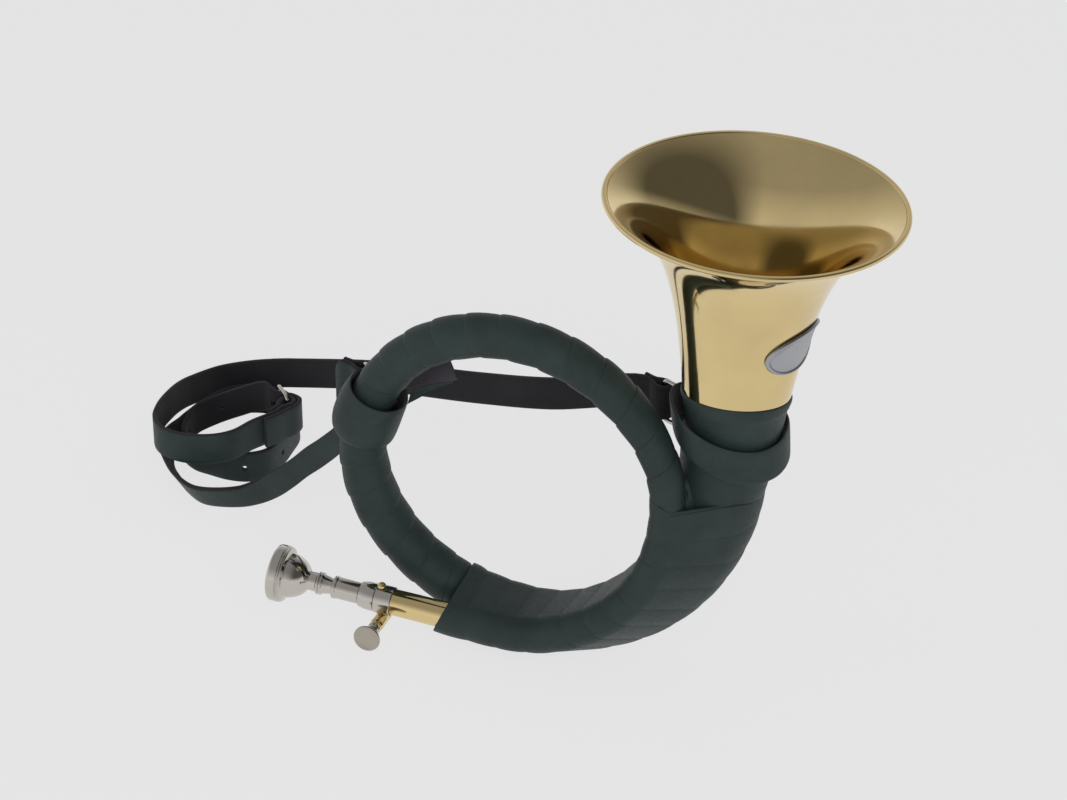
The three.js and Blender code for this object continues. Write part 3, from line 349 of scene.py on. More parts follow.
def turned(name, outline, origin, axis, materials, fillet=0.2, span=None, sides=None):
    """A turned piece. outline: [distance along the axis, radius] as a closed loop. span: the start
    and end turn in degrees of a piece that is split, from the front's direction"""
    axis = unit(np.asarray(axis, float))
    helper = X_AXIS if abs(axis[0]) < 0.9 else Z_AXIS
    first = unit(np.cross(axis, helper))
    second = np.cross(axis, first)
    sides = sides or sizes().turned_sides
    line = filleted(outline, fillet)
    low, high = (0, 360) if span is None else span
    steps = sides if span is None else sides + 1
    rings = []
    for i in range(steps):
        turn = math.radians(low + (high - low) * i / sides)
        out = first * math.cos(turn) + second * math.sin(turn)
        rings.append([origin + axis * along + out * max(radius, 0) for along, radius in line])
    return loft(name, rings, materials, "loop" if span is None else "caps", sharp=42)


def closed_wire(name, path, radius, materials, sides=16):
    """A round wire along points, whose ends meet"""
    rings = []
    normal = None
    turns = np.linspace(0, 2 * math.pi, sides, endpoint=False)
    for i, point in enumerate(path):
        tangent = unit(path[(i + 1) % len(path)] - path[i - 1])
        if normal is None:
            helper = Z_AXIS if abs(tangent[2]) < 0.9 else X_AXIS
            normal = unit(np.cross(tangent, helper))
        normal = unit(normal - tangent * np.dot(normal, tangent))
        other = np.cross(tangent, normal)
        rings.append(point + radius * (np.outer(np.cos(turns), normal) + np.outer(np.sin(turns), other)))
    return loft(name, rings, materials, "loop", sharp=60)


def place_piece(piece, body, nodes=()):
    """The piece rides on its body and stands for its nodes"""
    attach(piece, body)
    if nodes:
        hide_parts(*nodes)
    return piece


# Materials


def shader(name, colour, metallic, roughness):
    material = bpy.data.materials.get(name)
    if material:
        return material, None, None
    material = bpy.data.materials.new(name)
    material.use_nodes = True
    tree = material.node_tree
    main = tree.nodes["Principled BSDF"]
    main.inputs["Base Color"].default_value = (*colour, 1)
    main.inputs["Metallic"].default_value = metallic
    main.inputs["Roughness"].default_value = roughness
    return material, tree, main


def texture(tree, kind, scale, **values):
    """A texture node read in object space, scale in repeats per metre"""
    where = tree.nodes.get("Place") or tree.nodes.new("ShaderNodeTexCoord")
    where.name = "Place"
    node = tree.nodes.new(kind)
    tree.links.new(where.outputs["Object"], node.inputs["Vector"])
    node.inputs["Scale"].default_value = scale
    for key, value in values.items():
        node.inputs[key.replace("_", " ").title()].default_value = value
    return node


def remap(tree, source, low, high, to_low, to_high):
    node = tree.nodes.new("ShaderNodeMapRange")
    tree.links.new(source, node.inputs["Value"])
    for key, value in (("From Min", low), ("From Max", high), ("To Min", to_low), ("To Max", to_high)):
        node.inputs[key].default_value = value
    return node.outputs["Result"]


def combine(tree, operation, first, second):
    node = tree.nodes.new("ShaderNodeMath")
    node.operation = operation
    for socket, value in zip(node.inputs, (first, second)):
        if hasattr(value, "is_linked"):
            tree.links.new(value, socket)
        else:
            socket.default_value = value
    return node.outputs[0]


def blend_colour(tree, factor, first, second):
    node = tree.nodes.new("ShaderNodeMix")
    node.data_type = "RGBA"
    tree.links.new(factor, node.inputs["Factor"])
    for socket, value in ((node.inputs[6], first), (node.inputs[7], second)):
        if hasattr(value, "is_linked"):
            tree.links.new(value, socket)
        else:
            socket.default_value = (*value, 1)
    return node.outputs[2]


def bump(tree, main, height, distance, strength, under=None):
    node = tree.nodes.new("ShaderNodeBump")
    node.inputs["Distance"].default_value = distance
    node.inputs["Strength"].default_value = strength
    tree.links.new(height, node.inputs["Height"])
    if under:
        tree.links.new(under, node.inputs["Normal"])
    tree.links.new(node.outputs["Normal"], main.inputs["Normal"])
    return node.outputs["Normal"]


# Each metal: its material's name, roughness, the roughness's spread, and depth of the fine lines
METALS = {
    "brass": ("brass_lacquered", 0.09, 0.03, 0.25),
    "nickel": ("nickel_polished", 0.13, 0.04, 0.3),
    "satin": ("nickel_satin", 0.36, 0.06, 1.0),
    "silver": ("silver_matt", 0.38, 0.05, 1.0),
}
# Each side of the leather: its material's name, how much lighter its patches are, roughness, grain
# (repeats per metre), depth of the grain (metres), and whether it is fibrous
HIDES = {
    "leather": ("leather_grain", 1.5, 0.52, 1400, 0.00012, False),
    "flesh": ("leather_flesh", 1.45, 0.88, 1500, 0.0002, True),
    "lining": ("leather_lining", 1.35, 0.9, 1500, 0.0002, True),
    "edge": ("leather_edge", 1.7, 0.8, 1800, 0.0002, True),
}


# Repeats per metre of the smears and fine lines on metal, and of the patches on leather
SMEARS, FINE_LINES, PATCHES = 34, 900, 42


def metal(key):
    """Polished metal: faint smears in the gloss, fine polishing lines, slight colour drift"""
    name, roughness, spread, scratch = METALS[key]
    colour = tuple(getattr(colours(), key))
    material, tree, main = shader(name, colour, 1.0, roughness)
    if tree is None:
        return material
    smear = texture(tree, "ShaderNodeTexNoise", SMEARS, detail=4.0).outputs["Fac"]
    fine = texture(tree, "ShaderNodeTexNoise", FINE_LINES, detail=3.0)
    gloss = remap(tree, smear, 0.35, 0.7, roughness - spread, roughness + spread)
    tree.links.new(gloss, main.inputs["Roughness"])
    darker = tuple(c * 0.9 for c in colour)
    drift = blend_colour(tree, remap(tree, smear, 0.4, 0.72, 0, 1), colour, darker)
    tree.links.new(drift, main.inputs["Base Color"])
    bump(tree, main, fine.outputs["Fac"], 0.00002, scratch * 0.3)
    return material


def hide(key):
    """Leather: pebbled grain or fibres, patches of colour and gloss"""
    name, lighter, roughness, grain, depth, fibre = HIDES[key]
    colour = tuple(getattr(colours(), key))
    material, tree, main = shader(name, colour, 0.0, roughness)
    if tree is None:
        return material
    patch = texture(tree, "ShaderNodeTexNoise", PATCHES, detail=5.0, roughness=0.6)
    light = tuple(c * lighter for c in colour)
    shade = blend_colour(tree, remap(tree, patch.outputs["Fac"], 0.36, 0.68, 0, 1), colour, light)
    tree.links.new(shade, main.inputs["Base Color"])
    cells = texture(tree, "ShaderNodeTexVoronoi", grain)
    finer = grain * (2.2 if fibre else 0.6)
    fuzz = texture(tree, "ShaderNodeTexNoise", finer, detail=6.0).outputs["Fac"]
    gloss = remap(tree, fuzz, 0.3, 0.7, roughness - 0.08, min(roughness + 0.08, 1))
    tree.links.new(gloss, main.inputs["Roughness"])
    first = bump(tree, main, fuzz, depth, 0.5 if fibre else 0.25)
    if not fibre:
        bump(tree, main, cells.outputs["Distance"], depth, 0.22, first)
    main.inputs["Specular IOR Level"].default_value = 0.2 if fibre else 0.27
    if fibre:
        main.inputs["Sheen Weight"].default_value = 0.08
        main.inputs["Sheen Roughness"].default_value = 0.6
    return material


def finish(key):
    return metal(key) if key in METALS else hide(key)


# Brass


def outline_tube(outer, bore):
    return [*outer, *reversed(bore)]


def plain_tube(start, end, radius, bore):
    return [(start, radius), (end, radius), (end, bore), (start, bore)]


def hollow_run(name, stations, high, low, sides, material):
    """A hollow skin along stations, from low to high over their radius"""
    outer = [ring(s, s["radius"] + high, sides) for s in stations]
    inner = [ring(s, s["radius"] + low, sides) for s in stations]
    return loft(name, outer + inner[::-1], [material], "loop", sharp=50)


class HORN_OT_brass(bpy.types.Operator):
    """Bell, rim bead, bell branch and coil tube in lacquered brass"""

    bl_idname = "horn.brass"
    bl_label = "Brass tube and bell"

    def execute(self, context):
        lip = BELL_MOUTH - 1.8 * BEAD_RADIUS
        drop = FLARE_LENGTH * ((BELL_MOUTH / lip) ** (1 / FLARE_SHARE) - 1)
        outer, inner = [], []
        for share in np.linspace(0, 1, 56) ** 1.7:
            below = drop + (BELL_LENGTH - drop) * share
            lean = math.atan(FLARE_SHARE * flare_radius(below) / (below + FLARE_LENGTH))
            outer.append((-below, flare_radius(below)))
            inside = flare_radius(below) - WALL * math.cos(lean)
            inner.append((-below + WALL * math.sin(lean), inside))
        inner[-1] = (outer[-1][0], inner[-1][1])
        self.on_bell_axis("bell_flare", outline_tube(outer, inner), 0.1, "bell")
        bead = []
        for i in range(BEAD_SIDES):
            turn = 2 * math.pi * (i + 0.5) / BEAD_SIDES
            up = min(math.sin(turn), BEAD_FLAT)
            out = BELL_MOUTH - BEAD_RADIUS + BEAD_RADIUS * math.cos(turn)
            bead.append((up * BEAD_RADIUS - BEAD_RADIUS, out))
        self.on_bell_axis("bell_bead", bead, 0.01, "bell_rim_bead")
        run = [coil_station(a) for a in np.linspace(BRANCH_START, COIL_END, 60)]
        run += branch_stations(10) + straight_stations(6, BELL_LENGTH + SEAT_GAP)
        branch = hollow_run("branch_tube", run, 0, -WALL, 48, "brass")
        place_piece(branch, "horn", ["bell_branch"])
        for node in ("coil_tube", "tube_brace_1", "tube_brace_2", "tube_brace_3"):
            paint_node(node, "brass")
        return {"FINISHED"}

    @staticmethod
    def on_bell_axis(name, outline, fillet, node):
        piece = turned(name, outline, BELL_CENTRE, BELL_AXIS, ["brass"], fillet, sides=BELL_SIDES)
        place_piece(piece, "horn", [node])


def paint_node(node, key):
    """A CAD node keeps its shape and takes a finish"""
    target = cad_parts[node]
    for slot_place in target.material_slots:
        slot_place.material = finish(key)
    if not target.material_slots:
        raise RuntimeError(f"{node} has no material slot")


# Badge


BADGE_BELOW = 60.3
BADGE_AZIMUTH = -17.0
BADGE_TILT = math.radians(3.7)
BADGE_HALF = (19.6, 10.7)
BADGE_BASE = 0.15
BADGE_PLATE = 0.9
BADGE_FIELD = 0.12
# The raised border and the groove inside it: share of the outline, height over the plate's top
BADGE_BORDER = [
    (1, -0.15), (0.992, 0), (0.972, 0.36), (0.95, 0.5), (0.925, 0.42), (0.905, 0.05), (0.888, -0.3),
    (0.872, -0.02), (0.86, 0.02), (0.85, -0.12),
]


def on_bell(below, azimuth, height):
    lean = math.atan(FLARE_SHARE * flare_radius(below) / (below + FLARE_LENGTH))
    turn = math.radians(azimuth)
    side = unit(np.cross(Y_AXIS, BELL_AXIS))
    across = side * math.cos(turn) + Y_AXIS * math.sin(turn)
    out = flare_radius(below) + height * math.cos(lean)
    return bell_point(below + height * math.sin(lean)) + across * out


def badge_ring(share, height, sides=96):
    around = math.degrees(1 / flare_radius(BADGE_BELOW))
    c, s = math.cos(BADGE_TILT), math.sin(BADGE_TILT)
    out = []
    for i in range(sides):
        turn = 2 * math.pi * i / sides
        u, v = BADGE_HALF[0] * share * math.cos(turn), BADGE_HALF[1] * share * math.sin(turn)
        azimuth = BADGE_AZIMUTH + (u * c - v * s) * around
        out.append(on_bell(BADGE_BELOW - (u * s + v * c), azimuth, height))
    return out


class HORN_OT_badge(bpy.types.Operator):
    """Oval badge with a raised border round a bare field"""

    bl_idname = "horn.badge"
    bl_label = "Badge"

    def execute(self, context):
        top = BADGE_BASE + BADGE_PLATE
        profile = [(share, BADGE_BASE) for share in (0.04, 0.2, 0.4, 0.6, 0.8, 0.97)]
        profile += [(1, BADGE_BASE + 0.1)] + [(share, top + rise) for share, rise in BADGE_BORDER]
        profile += [(share, top - BADGE_FIELD) for share in (0.7, 0.5, 0.3, 0.15, 0.04)]
        plate = loft("badge_plate", [badge_ring(*step) for step in profile], ["silver"], "caps", sharp=50)
        place_piece(plate, "horn", ["badge"])
        return {"FINISHED"}


# Slide, mouthpiece and clamp, along the leadpipe's axis


LEAD_ORIGIN = coil_point(COIL_START)
LEAD_AXIS = np.array([math.sin(math.radians(COIL_START)), 0.0, -math.cos(math.radians(COIL_START))])
LEAD_RIGHT = np.array([0.00616, 0.99692, 0.07822])
LEAD_LENGTH = 56.0
LEAD_BORE = 5.2
CLAMP_START = 49.4
CLAMP_LENGTH = 7.8
CLAMP_END = CLAMP_START + CLAMP_LENGTH
SLIDE_START = CLAMP_END + 0.3
SLIDE_LENGTH = 7.6
SLIDE_END = SLIDE_START + SLIDE_LENGTH
RECEIVER_START = SLIDE_END + 0.3
RECEIVER_LENGTH = 13.0
RECEIVER_END = RECEIVER_START + RECEIVER_LENGTH
RECEIVER_RADIUS = 5.0
RECEIVER_BORE = 4.2
RECEIVER_LIP = 0.35
RECEIVER_SHARES = [(0, 0), (0.84, 0), (0.87, 1), (0.97, 1), (1, 0)]
SLIDE_TUBE_RADIUS = 4.9
SLIDE_TUBE_BORE = 3.7
SLIDE_TUBE_INSIDE = 30
SWELL_CLAMP = 6.9
SPLIT_HALF = 0.4
NUB_AXIS = np.array([0.07822, -0.07846, 0.99384])
SWELL_SLIDE = 6.6
# Swelling ferrules: share of the length, share of the swell
SLIDE_SHARES = [
    (0, 0.75), (0.1, 0.9), (0.2, 0.97), (0.3, 1), (0.45, 0.94), (0.62, 0.8), (0.76, 0.55), (0.86, 0.3),
    (1, 0),
]
CLAMP_SHARES = [
    (0, 0.1), (0.08, 0.36), (0.16, 0.55), (0.28, 0.84), (0.42, 1), (0.58, 0.98), (0.72, 0.9),
    (0.88, 0.66), (1, 0.35),
]
RIM_RADIUS = 13.3
RIM_WIDTH = 4.2
MOUTHPIECE_SHOWN = 29.6
RIM_FACE = RECEIVER_END + MOUTHPIECE_SHOWN
CUP_DEPTH = 11.0
SHANK_RADIUS = 3.48
SHANK_INSIDE = 11.0
MOUTHPIECE_SHARES = [
    (0, 0.82), (0.008, 0.9), (0.03, 0.975), (0.06, 1), (0.165, 1), (0.172, 0.965), (0.182, 0.965),
    (0.19, 0.985), (0.2, 0.985), (0.207, 0.945), (0.217, 0.945), (0.225, 0.955), (0.235, 0.93),
    (0.245, 0.86), (0.255, 0.8), (0.283, 0.785), (0.34, 0.755), (0.398, 0.712), (0.45, 0.655),
    (0.498, 0.584), (0.535, 0.51), (0.56, 0.44), (0.575, 0.39), (0.59, 0.345), (0.62, 0.326),
    (0.66, 0.33), (0.7, 0.338), (0.73, 0.35), (0.75, 0.4), (0.775, 0.4), (0.787, 0.355), (0.8, 0.395),
    (0.825, 0.385), (0.84, 0.335), (0.9, 0.31),
]
CUP_SHARES = [
    (0.06, 1), (0.13, 0.972), (0.2, 0.94), (0.35, 0.888), (0.5, 0.83), (0.63, 0.73), (0.75, 0.6),
    (0.84, 0.47), (0.92, 0.34), (1.0, 0.25), (1.1, 0.21), (1.5, 0.21),
]
SCREW_ORIGIN = np.array([-59.4653, -12.3591, -76.2435])
SCREW_AXIS = np.array([0.006156, -0.996917, 0.078217])
# The thumb screw's parts: share of the length or depth, share of the radius
SCREW_BEAD = [(0, 0.84), (0.1, 0.95), (0.22, 1), (0.62, 1), (0.85, 0.92), (1, 0.78)]
SCREW_NECK = [(0, 1.25), (0.1, 1.3), (0.2, 1.1), (0.5, 1), (0.8, 1.12), (1, 1.4)]
SCREW_HEAD_RADIUS = 6.3
SCREW_HEAD = [
    (0.12, 0.42), (0.24, 0.6), (0.36, 0.76), (0.5, 0.88), (0.62, 0.96), (0.74, 0.99), (0.84, 1),
    (0.94, 0.98), (1, 0.92),
]
SCREW_DISH = [(0.15, 0.84), (0.5, 0.62), (0.85, 0.3), (1, 0)]


def swelled(start, length, low, high, shares):
    return [(start + along * length, low + (high - low) * swell) for along, swell in shares]


def on_lead(name, outline, body, material, node, **options):
    piece = turned(name, outline, LEAD_ORIGIN, LEAD_AXIS, [material], **options)
    place_piece(piece, body, [node])


def on_screw(name, outline, body, material, node, fillet, sides=48):
    piece = turned(name, outline, SCREW_ORIGIN, SCREW_AXIS, [material], fillet, sides=sides)
    place_piece(piece, body, [node])


class HORN_OT_slide(bpy.types.Operator):
    """Leadpipe, tuning slide, mouthpiece receiver and cup mouthpiece"""

    bl_idname = "horn.slide"
    bl_label = "Slide and mouthpiece"

    def execute(self, context):
        lead = plain_tube(0.3, LEAD_LENGTH, LEAD_RADIUS, LEAD_BORE)
        on_lead("lead_tube", lead, "horn", "brass", "leadpipe")
        start = LEAD_LENGTH - SLIDE_TUBE_INSIDE
        inner = plain_tube(start, SLIDE_END - 0.3, SLIDE_TUBE_RADIUS, SLIDE_TUBE_BORE)
        on_lead("slide_inner", inner, "tuning_slide", "nickel", "slide_tube")
        bore = SLIDE_TUBE_RADIUS + 0.3
        ferrule = outline_tube(
            swelled(SLIDE_START, SLIDE_LENGTH, bore + WALL, SWELL_SLIDE, SLIDE_SHARES),
            [(SLIDE_START, bore), (SLIDE_END, bore)],
        )
        on_lead("slide_swell", ferrule, "tuning_slide", "nickel", "slide_ferrule")
        outside = [
            (RECEIVER_START + along * RECEIVER_LENGTH, RECEIVER_RADIUS + RECEIVER_LIP * lip)
            for along, lip in RECEIVER_SHARES
        ]
        socket = outline_tube(
            outside, [(RECEIVER_START, RECEIVER_BORE * 0.9), (RECEIVER_END, RECEIVER_BORE)],
        )
        on_lead("receiver_socket", socket, "tuning_slide", "nickel", "mouthpiece_receiver")
        outside = [
            (RIM_FACE - along * MOUTHPIECE_SHOWN, radius * RIM_RADIUS)
            for along, radius in MOUTHPIECE_SHARES
        ]
        outside.append((RECEIVER_END + 0.3, SHANK_RADIUS))
        outside.append((RECEIVER_END - SHANK_INSIDE, SHANK_RADIUS * 0.9))
        cup = RIM_RADIUS - RIM_WIDTH
        inside = [(RIM_FACE, cup + RIM_WIDTH * 0.12)]
        inside += [(RIM_FACE - along * CUP_DEPTH, radius * cup) for along, radius in CUP_SHARES]
        inside += [(RECEIVER_END - SHANK_INSIDE, SHANK_RADIUS * 0.9 - WALL)]
        body = outline_tube(outside, inside)
        on_lead("cup_body", body, "cup_mouthpiece", "nickel", "mouthpiece", fillet=0.16, sides=96)
        return {"FINISHED"}


class HORN_OT_clamp(bpy.types.Operator):
    """Split ferrule, lugs, thumb screw, its loose bead, and stop nub"""

    bl_idname = "horn.clamp"
    bl_label = "Slide clamp"

    def execute(self, context):
        bore = LEAD_RADIUS + 0.3
        outline = outline_tube(
            swelled(CLAMP_START, CLAMP_LENGTH, LEAD_RADIUS + WALL, SWELL_CLAMP, CLAMP_SHARES),
            [(CLAMP_START, bore), (CLAMP_END, bore)],
        )
        # The split faces the lugs, below the pipe
        down = -math.degrees(math.atan2(*self.across()))
        half = math.degrees(SPLIT_HALF / SWELL_CLAMP)
        on_lead(
            "clamp_split_ferrule", outline, "horn", "nickel", "clamp_ferrule",
            span=(down + half, down + 360 - half),
        )
        hole, barrel = 1.8, 3.2
        tip = barrel * 0.86
        lug = outline_tube(
            [(0.4, barrel), (9.6, barrel), (10.5, tip), (11, tip)], [(0.4, hole), (11, hole)],
        )
        on_screw("clamp_lug_long", lug, "horn", "brass", "clamp_lug_front", 0.15)
        lug = outline_tube(
            [(-3, barrel * 0.72), (-2.2, barrel), (-0.4, barrel)], [(-3, hole), (-0.4, hole)],
        )
        on_screw("clamp_lug_short", lug, "horn", "brass", "clamp_lug_back", 0.15)
        start = 11.3
        bead = outline_tube(
            [(start + along * 3.4, radius * 3) for along, radius in SCREW_BEAD],
            [(start, hole), (start + 3.4, hole)],
        )
        on_screw("clamp_bead_ring", bead, "clamp_screw", "nickel", "clamp_collar", 0.2)
        neck = start + 3.7
        head = neck + 4.6
        screw = [(-2.2, 0), (-2.2, 1.5), (neck, 1.5)]
        screw += [(neck + along * 4.6, radius * 1.8) for along, radius in SCREW_NECK]
        screw += [(head + along * 3.2, radius * SCREW_HEAD_RADIUS) for along, radius in SCREW_HEAD]
        screw += [(head + 3.2 - depth * 1.5, radius * SCREW_HEAD_RADIUS) for depth, radius in SCREW_DISH]
        on_screw("thumb_screw_turned", screw, "clamp_screw", "satin", "thumb_screw", 0.15, 64)
        nub = [(0, 0), (0, 2), (0.7, 2), (1.2, 1.85), (1.6, 1.5), (1.9, 1.05), (2.1, 0.5), (2.2, 0)]
        foot = LEAD_ORIGIN + LEAD_AXIS * (CLAMP_END - 2)
        foot = foot + np.cross(LEAD_RIGHT, LEAD_AXIS) * (SWELL_CLAMP + 0.3)
        piece = turned("stop_nub_turned", nub, foot, NUB_AXIS, ["brass"], 0.1, sides=32)
        place_piece(piece, "horn", ["stop_nub"])
        return {"FINISHED"}

    @staticmethod
    def across():
        """The screw's place seen along the leadpipe, as the turned piece counts its turns"""
        axis = unit(LEAD_AXIS)
        first = unit(np.cross(axis, Z_AXIS))
        second = np.cross(axis, first)
        side = SCREW_ORIGIN - LEAD_ORIGIN
        return -np.dot(side, second), np.dot(side, first)


# Leather binding


# How far a turn lies over the next, as a share of the pitch, and how much it rises across a pitch
LAP = 0.2
STRIP_STEP = 1.12
# Shares of the strip's width, and how far the strip is pared down there
EDGE_STEPS = [0, 0.015, 0.05, 0.12, 0.3, 0.5, 0.7, 0.84, 0.92, 0.97, 1]
COIL_DROPS = [0.35, 0.1, 0.02, 0, 0, 0.03, 0.14, 0.3, 0.45, 0.6, 0.82]
JOINT_DROPS = [0.35, 0.1, 0.02, 0, 0, 0.1, 0.35, 0.6, 0.8, 0.95, 1.08]
# The branch's sleeve: where it starts, and the heights of its two faces over the tube
SLEEVE_START = 364.0
SLEEVE_HIGH, SLEEVE_LOW = 1.65, 0.6
# The cuff's upper edge below the bell's mouth, how much higher it is toward the camera, the heights
# of its two faces, and its section: share of the way up, and how far its outside is pared down there
CUFF_TOP = 92.8
CUFF_RISE = 4.3
CUFF_HIGH, CUFF_LOW = 1.15, 0.3
CUFF_SECTION = [
    (0, 0.4), (0.03, 0.1), (0.1, 0), (0.3, 0), (0.5, 0), (0.65, 0), (0.74, 0), (0.82, 0), (0.9, 0),
    (0.95, 0.03), (0.98, 0.16), (1, 0.5),
]


def swept(section, turns, faces):
    """Outer and inner rings, one pair for each entry of a section. faces gives the centre, the
    direction outward and the radius of both faces"""
    outer, inner = [], []
    for share, drop in section:
        spots = [faces(share, drop, turn) for turn in turns]
        outer.append(np.array([centre + out * high for centre, out, high, _ in spots]))
        inner.append(np.array([centre + out * low for centre, out, _, low in spots]))
    return outer, inner


def surface_on_coil(angle, turn, height):
    at = coil_station(angle)
    radial, side = axes_at(at["tangent"])
    return at["centre"] + (at["radius"] + height) * (math.cos(turn) * radial + math.sin(turn) * side)


def tube_in_plane(angle, straight):
    used = COIL_START if straight else angle
    point, tangent, turn = coil_point(used), coil_tangent(used), math.radians(used)
    outward = np.array([math.cos(turn), 0, math.sin(turn)])
    along = np.array([-math.sin(turn), 0, math.cos(turn)])
    forward = abs(np.dot(tangent, along))
    lean = math.radians(COIL_START - angle) if straight else 0
    radius = tube_radius(used)
    return (
        math.hypot(point[0], point[2]) / math.cos(lean), point[1],
        radius * math.hypot(1, np.dot(tangent, outward) / forward) / math.cos(lean),
        radius * math.hypot(1, tangent[1] / forward),
    )


def surface_on_pair(angle, turn, height):
    outward, deeper = math.cos(turn), math.sin(turn)
    reaches = []
    for tube in (tube_in_plane(angle, angle < COIL_START), tube_in_plane(angle + 360, False)):
        across, depth, wide, deep = tube
        half = math.hypot(wide * outward, deep * deeper)
        reaches.append((across * outward + depth * deeper + half, half, tube))
    _, half, (across, depth, wide, deep) = max(reaches)
    across += wide**2 * outward / half + height * outward
    depth += deep**2 * deeper / half + height * deeper
    turn = math.radians(angle)
    return np.array([across * math.cos(turn), depth, across * math.sin(turn)])


def lapped_strip(name, surface, start, end, turns, steps, base, wander, drops, slant=0.0):
    """One unbroken strip wound so that each turn laps the next, with softened edges. surface: a
    point at an angle, turn and height. steps: in a turn. base: the height of the outer face at
    the first edge. wander: how far the turns stray, in degrees. drops: how far the strip is pared
    down across its width. slant: how far the last edge is cut back on the outer side, in degrees"""
    thick = sizes().strip_thickness / MM
    pitch = (end - start) / (turns - 1 + LAP)
    width = pitch * (1 + LAP)
    rings = []
    for i in range(turns * steps + 1):
        turn = 2 * math.pi * i / steps
        drift = wander * noise.noise(Vector((i / steps * 0.9, 3.1, 0.2)))
        low = start - pitch + pitch * i / steps + drift
        last = end - slant * math.cos(turn)
        near, far = min(max(low, start), last), max(min(low + width, last), start)
        outer, inner = [], []
        for share, drop in zip(EDGE_STEPS, drops):
            at = near + (far - near) * share
            uneven = 0.16 * noise.noise(Vector((at * 0.11, turn * 0.8, i / steps * 0.37)))
            high = base + STRIP_STEP * (at - low) / pitch
            outer.append(surface(at, turn, high - drop + uneven * max(1 - drop, 0)))
            inner.append(surface(at, turn, max(min(high - thick, high - drop - 0.3), 0.15)))
        rings.append(outer + inner[::-1])
    count = len(EDGE_STEPS)
    slots = [0] * (count - 1) + [1] * (count + 1)
    return loft(name, rings, ["leather", "edge"], "caps", slots, sharp=55)


class HORN_OT_binding(bpy.types.Operator):
    """Lapped leather strip on the coil and on the paired tubes, the branch sleeve and the cuff"""

    bl_idname = "horn.binding"
    bl_label = "Leather binding"

    def execute(self, context):
        piece = lapped_strip(
            "coil_strip", surface_on_coil, start=9.46, end=245.54, turns=21, steps=40, base=1.4,
            wander=1.1, drops=COIL_DROPS,
        )
        place_piece(piece, "horn", ["coil_wrap"])
        piece = lapped_strip(
            "joint_strip", surface_on_pair, start=-114, end=8.5, turns=13, steps=56, base=2.1,
            wander=1.0, drops=JOINT_DROPS, slant=3.5,
        )
        place_piece(piece, "horn", ["joint_wrap"])
        self.tuck()
        self.branch()
        self.cuff()
        return {"FINISHED"}

    @staticmethod
    def tuck():
        """Leather tucked in between the two tubes where they part, and under the coil strip's ends"""
        rings = []
        for share in np.linspace(0, 1, 13):
            angle = 2 + 13 * share
            inner, outer = coil_point(angle), coil_point(angle + 360)
            reach = outer - inner
            middle = inner + reach * 0.46
            high = (tube_radius(angle) + 1.9) * math.sqrt(max(1 - share**2, 0.002)) * (1 - 0.25 * share)
            along = unit(reach)
            up = unit(np.cross(coil_tangent(angle), along))
            wide = np.linalg.norm(reach) * 0.4
            turns = np.linspace(0, 2 * math.pi, 40, endpoint=False)
            flat = wide * np.outer(np.cos(turns), along)
            rings.append(middle + flat + high * np.outer(np.sin(turns), up))
        piece = loft("joint_tuck", rings, ["leather"], "caps", sharp=60)
        place_piece(piece, "horn")
        for name, low, high in (("coil_underlay_top", 2.0, 11.0), ("coil_underlay_foot", 243.0, 249.0)):
            run = [coil_station(a) for a in np.linspace(low, high, 7)]
            place_piece(hollow_run(name, run, 1.3, 0.2, 64, "leather"), "horn")

    @staticmethod
    def branch():
        """The branch's sleeve starts under the joint's strip"""
        turn = math.radians(SLEEVE_START)
        normal = np.array([-math.sin(turn), 0, math.cos(turn)])
        first = dict(coil_station(SLEEVE_START), tangent=normal, radius=tube_radius(SLEEVE_START) * 1.015)
        bottom = BELL_LENGTH + BELL_STRAIGHT + SEAT_GAP
        run = [first] + [coil_station(angle) for angle in (368, 372, COIL_END)]
        run += branch_stations(12)[:-1]
        run.append(station(bell_point(bottom), BELL_AXIS, branch_top_radius(bottom)))
        sides = 96
        outer, inner = [], []
        for at in run:
            base = ring(at, at["radius"] + SLEEVE_HIGH, sides)
            shift = rough(base, 0.25, 14)
            outer.append(at["centre"] + (base - at["centre"]) * (1 + shift[:, None] / at["radius"]))
            inner.append(ring(at, at["radius"] + SLEEVE_LOW, sides))
        piece = loft("branch_sleeve", outer + inner[::-1], ["leather"], "loop", sharp=50)
        place_piece(piece, "horn", ["branch_wrap"])

    @staticmethod
    def cuff():
        """The cuff covers the bell's foot and reaches higher up it on the front"""
        bottom = BELL_LENGTH + BELL_STRAIGHT
        side = unit(np.cross(Y_AXIS, BELL_AXIS))

        def faces(share, drop, turn):
            c, s = math.cos(turn), math.sin(turn)
            top = CUFF_TOP - CUFF_RISE * (0.316 * c - 0.949 * s)
            below = bottom + (top - bottom) * share
            step = SOCKET_DEPTH * smoothstep(-below, -97.0, -94.5)
            radius = branch_top_radius(below) + step
            high, low = radius + CUFF_HIGH - 0.3 * step - drop, radius + CUFF_LOW - 0.15 * step
            return bell_point(below), side * c + Y_AXIS * s, high, low

        outer, inner = swept(CUFF_SECTION, np.linspace(0, 2 * math.pi, 96, endpoint=False), faces)
        piece = loft("cuff_sleeve", outer + inner[::-1], ["leather", "edge"], "loop", sharp=50)
        place_piece(piece, "horn", ["bell_cuff"])


# Collars, flap and ring tabs


STRAP_WIDTH_CAD = 16.6
STRAP_THICK_CAD = 2.2
COLLAR_THICKNESS = 1.4
CAMERA_RIGHT = np.array([0.9487, 0.316, 0.0])
# The bell collar's upper edge, by the turn from the camera's right through the back
BELL_BAND_TURNS = [0, 45, 90, 133, 180, 225, 270, 315, 360]
BELL_BAND_TOPS = [44.6, 46.3, 48.5, 52.0, 57.0, 50.0, 43.4, 41.2, 44.6]
BELL_BAND_HEIGHT = 16.0
